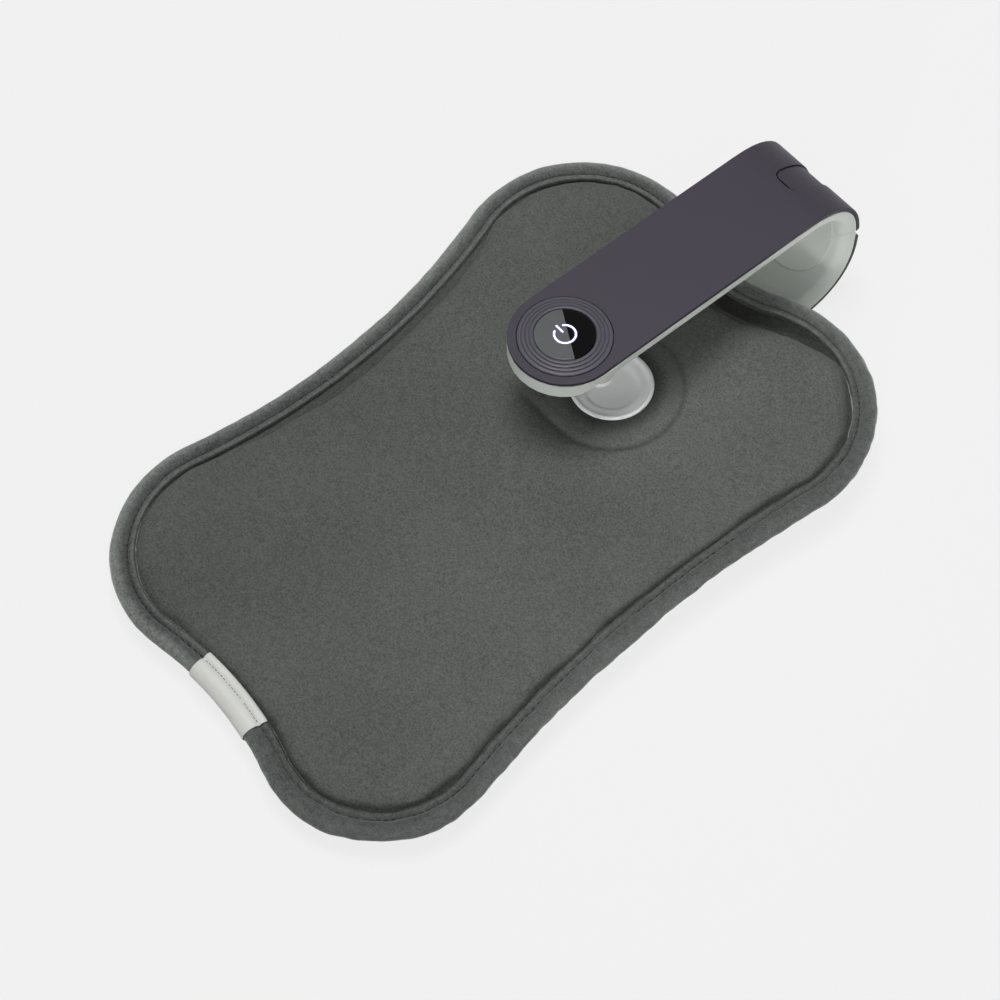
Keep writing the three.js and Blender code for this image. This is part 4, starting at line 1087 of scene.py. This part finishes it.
def pressed_top(x, y, z):
    seam = seam_at(y)
    inset = inset_of(x, y)
    drawn = wavy_inset(x, y, inset)
    near_seam = along_table(VALLEY_TOP, max(drawn, min(inset, HEM_REACH)))
    share = smoothstep(*CROWN_TOP_BLEND, drawn)
    height = (1 - share) * (seam + near_seam) + share * z
    height += share * UNDULATION * flat_noise(x, y, UNDULATION_LENGTH, layer=1.3)
    height += gripped_at(x, y) * (min(seam + PINCH_FLOOR, height) - height)
    drop = teardrop_distance(x, y)
    depth = teardrop_depth(x, y)
    low = PORT_LEVEL - PAD_RISE + SEAM_SLOPE * (y - PORT.y)
    height += smoothstep(*PORT_SLOPE, drop) * (1 - gripped_at(x, y)) * (low - height)
    height += depth * smoothstep(CREASE_OFFSET, -PAD_SHOULDER, drop) * (PORT_LEVEL - height)
    height -= depth * CREASE_DEPTH * hump(drop, CREASE_OFFSET, CREASE_WIDTH)
    height = max(height, seam + along_table(BLADDER_TOP, inset))
    return height - WELL_DEPTH * smoothstep(*WELL_EDGE, away_from(PORT, x, y))


def pressed_bottom(x, y, z):
    inset = inset_of(x, y)
    share = smoothstep(*CROWN_BOTTOM_BLEND, inset)
    near_seam = seam_at(y) - along_table(VALLEY_BOTTOM, inset)
    return max((1 - share) * near_seam + share * z, rest_at(y))


print("port stands", round(PORT_LEVEL - seam_at(PORT.y), 1), "mm over the seam")

# %% [markdown]
# Painted shade darkens the pillow where shade falls: in the valley inside the hem, along the
# crease, at the throat and the grip under the clip, and beside the dish. Each has its own
# strength, and a pair of distances between which it sets in.

# %% Pillow: painted shade
VALLEY_SHADE = 0.14
VALLEY_EDGE = (12.2, 10.4)
NEAR_VALLEY_SHADE = 0.42
HOLLOW_SHADE = 0.14
THROAT_SHADOW = 0.35
THROAT_SHADE = (62, 26)
CREASE_SHADE_AMOUNT = 0.36
CREASE_SHADE_OFFSET = 0.5
CREASE_SHADE_WIDTH = 0.92
GRIP_SHADE = 0.7
DISH_SHADOW = 0.5
DISH_SHADE = (WELL_RADIUS + 8, WELL_RADIUS + 2)


def pillow_painted_shading(x, y, z):
    # Painted shade in the valley, along the crease, at the throat and grip under the clip, and
    # beside the dish.
    throat = smoothstep(*THROAT_SHADE, away_from(THROAT, x, y))
    closed = VALLEY_SHADE + NEAR_VALLEY_SHADE * near_side(x, y)
    closed += THROAT_SHADOW * throat + HOLLOW_SHADE * hollow_side(x, y)
    valley = closed * smoothstep(*VALLEY_EDGE, wavy_inset(x, y, inset_of(x, y)))
    drop = teardrop_distance(x, y)
    crease = teardrop_depth(x, y) * hump(drop, CREASE_SHADE_OFFSET, CREASE_SHADE_WIDTH)
    dish_shadow_share = smoothstep(*DISH_SHADE, away_from(PORT, x, y))
    grip = GRIP_SHADE * gripped_at(x, y)
    return max(valley, CREASE_SHADE_AMOUNT * crease, grip, DISH_SHADOW * dish_shadow_share)


# The painted shade under the dish.
print("fold under the dish:", pillow_painted_shading(*PORT, 0))

# %% Pillow: press the details in
FINE_INSETS = (9, 22)
FINE_BESIDE_CREASE = 5


def refine_details(piece):
    """Halves the grid again where the top holds a valley or a crease."""
    bm = bmesh.new()
    bm.from_mesh(piece.data)
    fine = set()
    for face in bm.faces:
        x, y, z = face.calc_center_median() / MM
        in_valley = FINE_INSETS[0] < inset_of(x, y) < FINE_INSETS[1]
        by_crease = abs(teardrop_distance(x, y)) < FINE_BESIDE_CREASE
        if z > seam_at(y) and (in_valley or by_crease):
            fine.update(face.edges)
    bmesh.ops.subdivide_edges(bm, edges=list(fine), cuts=1, use_grid_fill=True)
    bm.to_mesh(piece.data)
    bm.free()


def press_pillow(piece):
    dense = piece.modifiers.new("dense", "SUBSURF")
    dense.levels = 2
    settled(piece)
    refine_details(piece)
    for vert in piece.data.vertices:
        x, y, z = vert.co / MM
        pressed = pressed_top if z > seam_at(y) else pressed_bottom
        vert.co.z = pressed(x, y, z) * MM
    # The pillow's painted shade.
    mark_painted_shading(piece, pillow_painted_shading)
    for polygon in piece.data.polygons:
        polygon.use_smooth = True
    print("pressed", len(piece.data.vertices), "points")


press_pillow(bag_pillow)
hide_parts("cover_top_panel", "cover_bottom_panel")

# %% [markdown]
# The charging port is a shallow dish of pale plastic with a thin bright rim, one turned
# profile. The island that carries the two contacts is a second, smaller one.

# %% Port dish
DISH_PROFILE = [
    (0, 21.95), (8.9, 22.0), (9.6, 22.2), (10.5, 22.95), (11.1, 23.25), (12.4, 23.45),
    (13.4, 23.6), (13.9, 24.0), (14.2, 24.42), (14.5, 24.6), (14.9, 24.63), (15.2, 24.6),
    (15.6, 24.4), (15.75, 24.1), (15.75, 23.65), (15.55, 23.45), (15.0, 23.38), (14.2, 23.1),
    (12.6, 22.5), (11.0, 21.9), (10, 21.2), (10, 14.85), (8.2, 14.85), (8.2, 20.9), (7.6, 21.1),
    (0, 21.1),
]
ISLAND = Vector((-6.6, 56))
ISLAND_PROFILE = [(0, 23.5), (4.9, 23.5), (5.3, 23.35), (5.5, 23.0), (5.5, 21.6)]
TURN_STEPS = 96


def turned(profile, centre):
    """A closed turned shape: a profile of (radius, height) spun about an upright axis."""
    bm = bmesh.new()
    verts = [bm.verts.new((centre.x + radius, centre.y, height)) for radius, height in profile]
    edges = [bm.edges.new(pair) for pair in zip(verts, verts[1:])]
    bmesh.ops.spin(
        bm, geom=verts + edges, cent=(*centre, 0), axis=(0, 0, 1), angle=FULL_TURN,
        steps=TURN_STEPS, use_merge=True,
    )
    bmesh.ops.remove_doubles(bm, verts=bm.verts, dist=MERGE)
    face_out(bm)
    return bm


def port_piece(profile, centre, name):
    material = plain["dish_plastic"]
    return finish_piece(turned(profile, centre), name, "bag", [material], sharp=40)


port_dish = port_piece(DISH_PROFILE, PORT, "port_dish")
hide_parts("port_socket")
port_piece(ISLAND_PROFILE, ISLAND, "port_island")

# %% [markdown]
# The clip's mouldings keep the frame's shape. Each is copied, its flat faces are joined,
# and a Bevel modifier rounds its edges, because the thin highlight on a rounded edge is
# what makes plastic look real. The plate over the hinge is let into the liner, so that
# only its outline shows.

# %% Clip mouldings
EDGE_ANGLE = 38
EDGE_SEGMENTS = 3
FLAT_ANGLE = math.radians(1)


def body_with(node):
    return next(body for body, nodes in BODIES.items() if node in nodes)


def refined(node, name, edge_radius, sunk=0):
    """A moulding from a frame node, with joined faces and rounded edges."""
    bm = bmesh.new()
    bm.from_mesh(frame["nodes"][node].data)
    bmesh.ops.scale(bm, vec=(1 / MM, 1 / MM, 1 / MM), verts=bm.verts)
    bmesh.ops.remove_doubles(bm, verts=bm.verts, dist=MERGE)
    bmesh.ops.dissolve_limit(bm, angle_limit=FLAT_ANGLE, verts=bm.verts, edges=bm.edges)
    bmesh.ops.translate(bm, vec=(0, sunk, 0), verts=bm.verts)
    slot = slot_of(node)
    material = SLOT_MATERIALS[slot]
    piece = finish_piece(bm, name, body_with(node), [material], sharp=EDGE_ANGLE)
    rounding = piece.modifiers.new("edge rounding", "BEVEL")
    rounding.width = edge_radius * MM
    rounding.segments = EDGE_SEGMENTS
    rounding.limit_method = "ANGLE"
    rounding.angle_limit = math.radians(EDGE_ANGLE)
    rounding.harden_normals = True
    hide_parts(node)
    return piece


# Node, new name, edge radius and, for the guard, how far it is let in.
MOULDINGS = [
    ("upper_cover", "upper_cover_shell", 0.35),
    ("lower_cover", "lower_cover_shell", 0.45),
    ("upper_liner", "upper_liner_tray", 0.45),
    ("lower_liner", "lower_liner_tray", 0.45),
    ("hinge_guard", "hinge_guard_plate", 0.3, 0.5),
    ("inlet_housing", "inlet_shell", 0.15),
    ("contact_post", "contact_post_body", 0.3),
    ("grip_pad", "grip_disc", 0.15),
    ("foot_pad_front", "foot_disc_front", 0.2),
    ("foot_pad_rear", "foot_disc_rear", 0.2),
]
for moulding in MOULDINGS:
    refined(*moulding)

# %% [markdown]
# The coil spring under the power button stands on the circuit board. It rides on the button
# with a mesh of its own and is not flattened, so when the button is pressed the rigid coil
# sinks into the board.

# %% Return spring
return_spring = refined("button_spring", "return_spring", 0.05)
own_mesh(return_spring)

# %% [markdown]
# The power button steps up towards its window in three rings. It is turned with many
# steps, because its rings are the sharpest circles in the picture, and each step has its
# corner cut in the profile itself.

# %% Power button
BUTTON_RADIUS = 17.2
BUTTON_EDGE_TOP = 60.95
STEP_HEIGHT = 0.27
RING_RADII = [15.5, 14.1, 12.7]
STEP_ROUNDING = 0.1
RING_GROOVE_WIDTH = 0.4
RING_GROOVE_DEPTH = 0.24
WINDOW_RADIUS = 11.4
WINDOW_TOP = 61.85
SKIRT_RADIUS = 15.6
SKIRT_FOOT = 57.9
FLANGE_RADIUS = 18.2
FLANGE_TOP = 58.8
PLATE_UNDER = 59.35
GUIDE_HOLE = 4.7
CAP_ROUNDING = 0.25
SEAT_ROUNDING = 0.1
SEAT_DEPTH = 1.1
# The window's section: radius, and height from its top.
WINDOW_PROFILE = [(0, 0), (10.5, 0), (10.95, -0.08), (11.1, -0.25), (11.1, -1), (0, -1)]


def button_profile():
    """The cap's section: hollow below for the switches, with a hole for the light guide."""
    points = [
        (GUIDE_HOLE, PLATE_UNDER), (SKIRT_RADIUS, PLATE_UNDER), (SKIRT_RADIUS, SKIRT_FOOT),
        (FLANGE_RADIUS, SKIRT_FOOT), (FLANGE_RADIUS, FLANGE_TOP), (BUTTON_RADIUS, FLANGE_TOP),
        (BUTTON_RADIUS, BUTTON_EDGE_TOP - CAP_ROUNDING),
        (BUTTON_RADIUS - CAP_ROUNDING, BUTTON_EDGE_TOP),
    ]
    top = BUTTON_EDGE_TOP
    for radius in RING_RADII:
        foot = top - RING_GROOVE_DEPTH
        points.append((radius + RING_GROOVE_WIDTH, top))
        points += [(radius + RING_GROOVE_WIDTH / 2, foot), (radius, foot)]
        top += STEP_HEIGHT
        points += [(radius, top - STEP_ROUNDING), (radius - STEP_ROUNDING, top)]
    points += [(WINDOW_RADIUS + SEAT_ROUNDING, top), (WINDOW_RADIUS, top - SEAT_ROUNDING)]
    points += [(WINDOW_RADIUS, top - SEAT_DEPTH), (GUIDE_HOLE, top - SEAT_DEPTH)]
    return points + [points[0]]


bm = turned(button_profile(), BUTTON)
ring_plastic = plain["ring_plastic"]
cap = finish_piece(bm, "power_button_cap", "button", [ring_plastic], sharp=50)
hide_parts("power_button")
bm = turned([(radius, WINDOW_TOP + up) for radius, up in WINDOW_PROFILE], BUTTON)
window = finish_piece(bm, "button_window_disc", "button", [window_gloss], sharp=60)
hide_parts("button_window")

# %% [markdown]
# The light under the window shows as the plain power symbol, a broken ring and a bar. A
# flat section is spun through most of a turn for the ring, the bar is a stretched disc,
# and a wider, dimmer copy below makes the violet edge of the glow.

# %% Light mark
MARK_RADIUS = 3.9
MARK_STROKE = 0.62
MARK_OPENING = math.radians(62)
MARK_UP = math.pi
MARK_LIFT = 0.05
MARK_STEPS = 48
END_STEPS = 20
BAR_START = 1.3
BAR_END = 4.6
GLOW_WIDTH = 0.22


def on_turn(radius, angle, up):
    return Vector((radius * math.cos(angle), radius * math.sin(angle), up))


def add_end(bm, place, half_width, depth):
    """A small upright disc that rounds off the end of a stroke."""
    return bmesh.ops.create_cone(
        bm, cap_ends=True, segments=END_STEPS, radius1=half_width, radius2=half_width,
        depth=depth, matrix=Matrix.Translation(place),
    )["verts"]


def add_mark(bm, half_width, low, high, slot_number):
    start = MARK_UP + MARK_OPENING / 2
    inner, outer = MARK_RADIUS - half_width, MARK_RADIUS + half_width
    middle, depth = (low + high) / 2, high - low
    before = set(bm.faces)
    corners = [(inner, low), (outer, low), (outer, high), (inner, high)]
    verts = [bm.verts.new(on_turn(radius, start, up)) for radius, up in corners]
    face = bm.faces.new(verts)
    bmesh.ops.spin(
        bm, geom=[*verts, *face.edges, face], cent=(0, 0, 0), axis=(0, 0, 1),
        angle=FULL_TURN - MARK_OPENING, steps=MARK_STEPS,
    )
    for angle in (start, MARK_UP - MARK_OPENING / 2):
        add_end(bm, on_turn(MARK_RADIUS, angle, middle), half_width, depth)
    # The bar is a disc too, whose upper half is drawn out along the symbol's upward way.
    bar = add_end(bm, (0, 0, middle), half_width, depth)
    upward = [vert for vert in bar if vert.co.x < 0]
    bmesh.ops.translate(bm, vec=(BAR_START - BAR_END, 0, 0), verts=upward)
    bmesh.ops.translate(bm, vec=(-BAR_START, 0, 0), verts=bar)
    for face in set(bm.faces) - before:
        face.material_index = slot_number


bm = bmesh.new()
add_mark(bm, MARK_STROKE / 2, 0, 2 * MARK_LIFT, 0)
add_mark(bm, MARK_STROKE / 2 + GLOW_WIDTH, -MARK_LIFT, MARK_LIFT / 2, 1)
face_out(bm)
bmesh.ops.translate(bm, vec=(*BUTTON, WINDOW_TOP), verts=bm.verts)
finish_piece(bm, "power_mark", "button", [mark_light, mark_edge], sharp=40)

# %% [markdown]
# The remaining frame nodes keep their own meshes and get the finish of their slot.

# %% Frame nodes' materials
for node, solid in frame["nodes"].items():
    solid.data.materials.clear()
    solid.data.materials.append(SLOT_MATERIALS[slot_of(node)])
print("materials on", len(frame["nodes"]), "frame nodes")
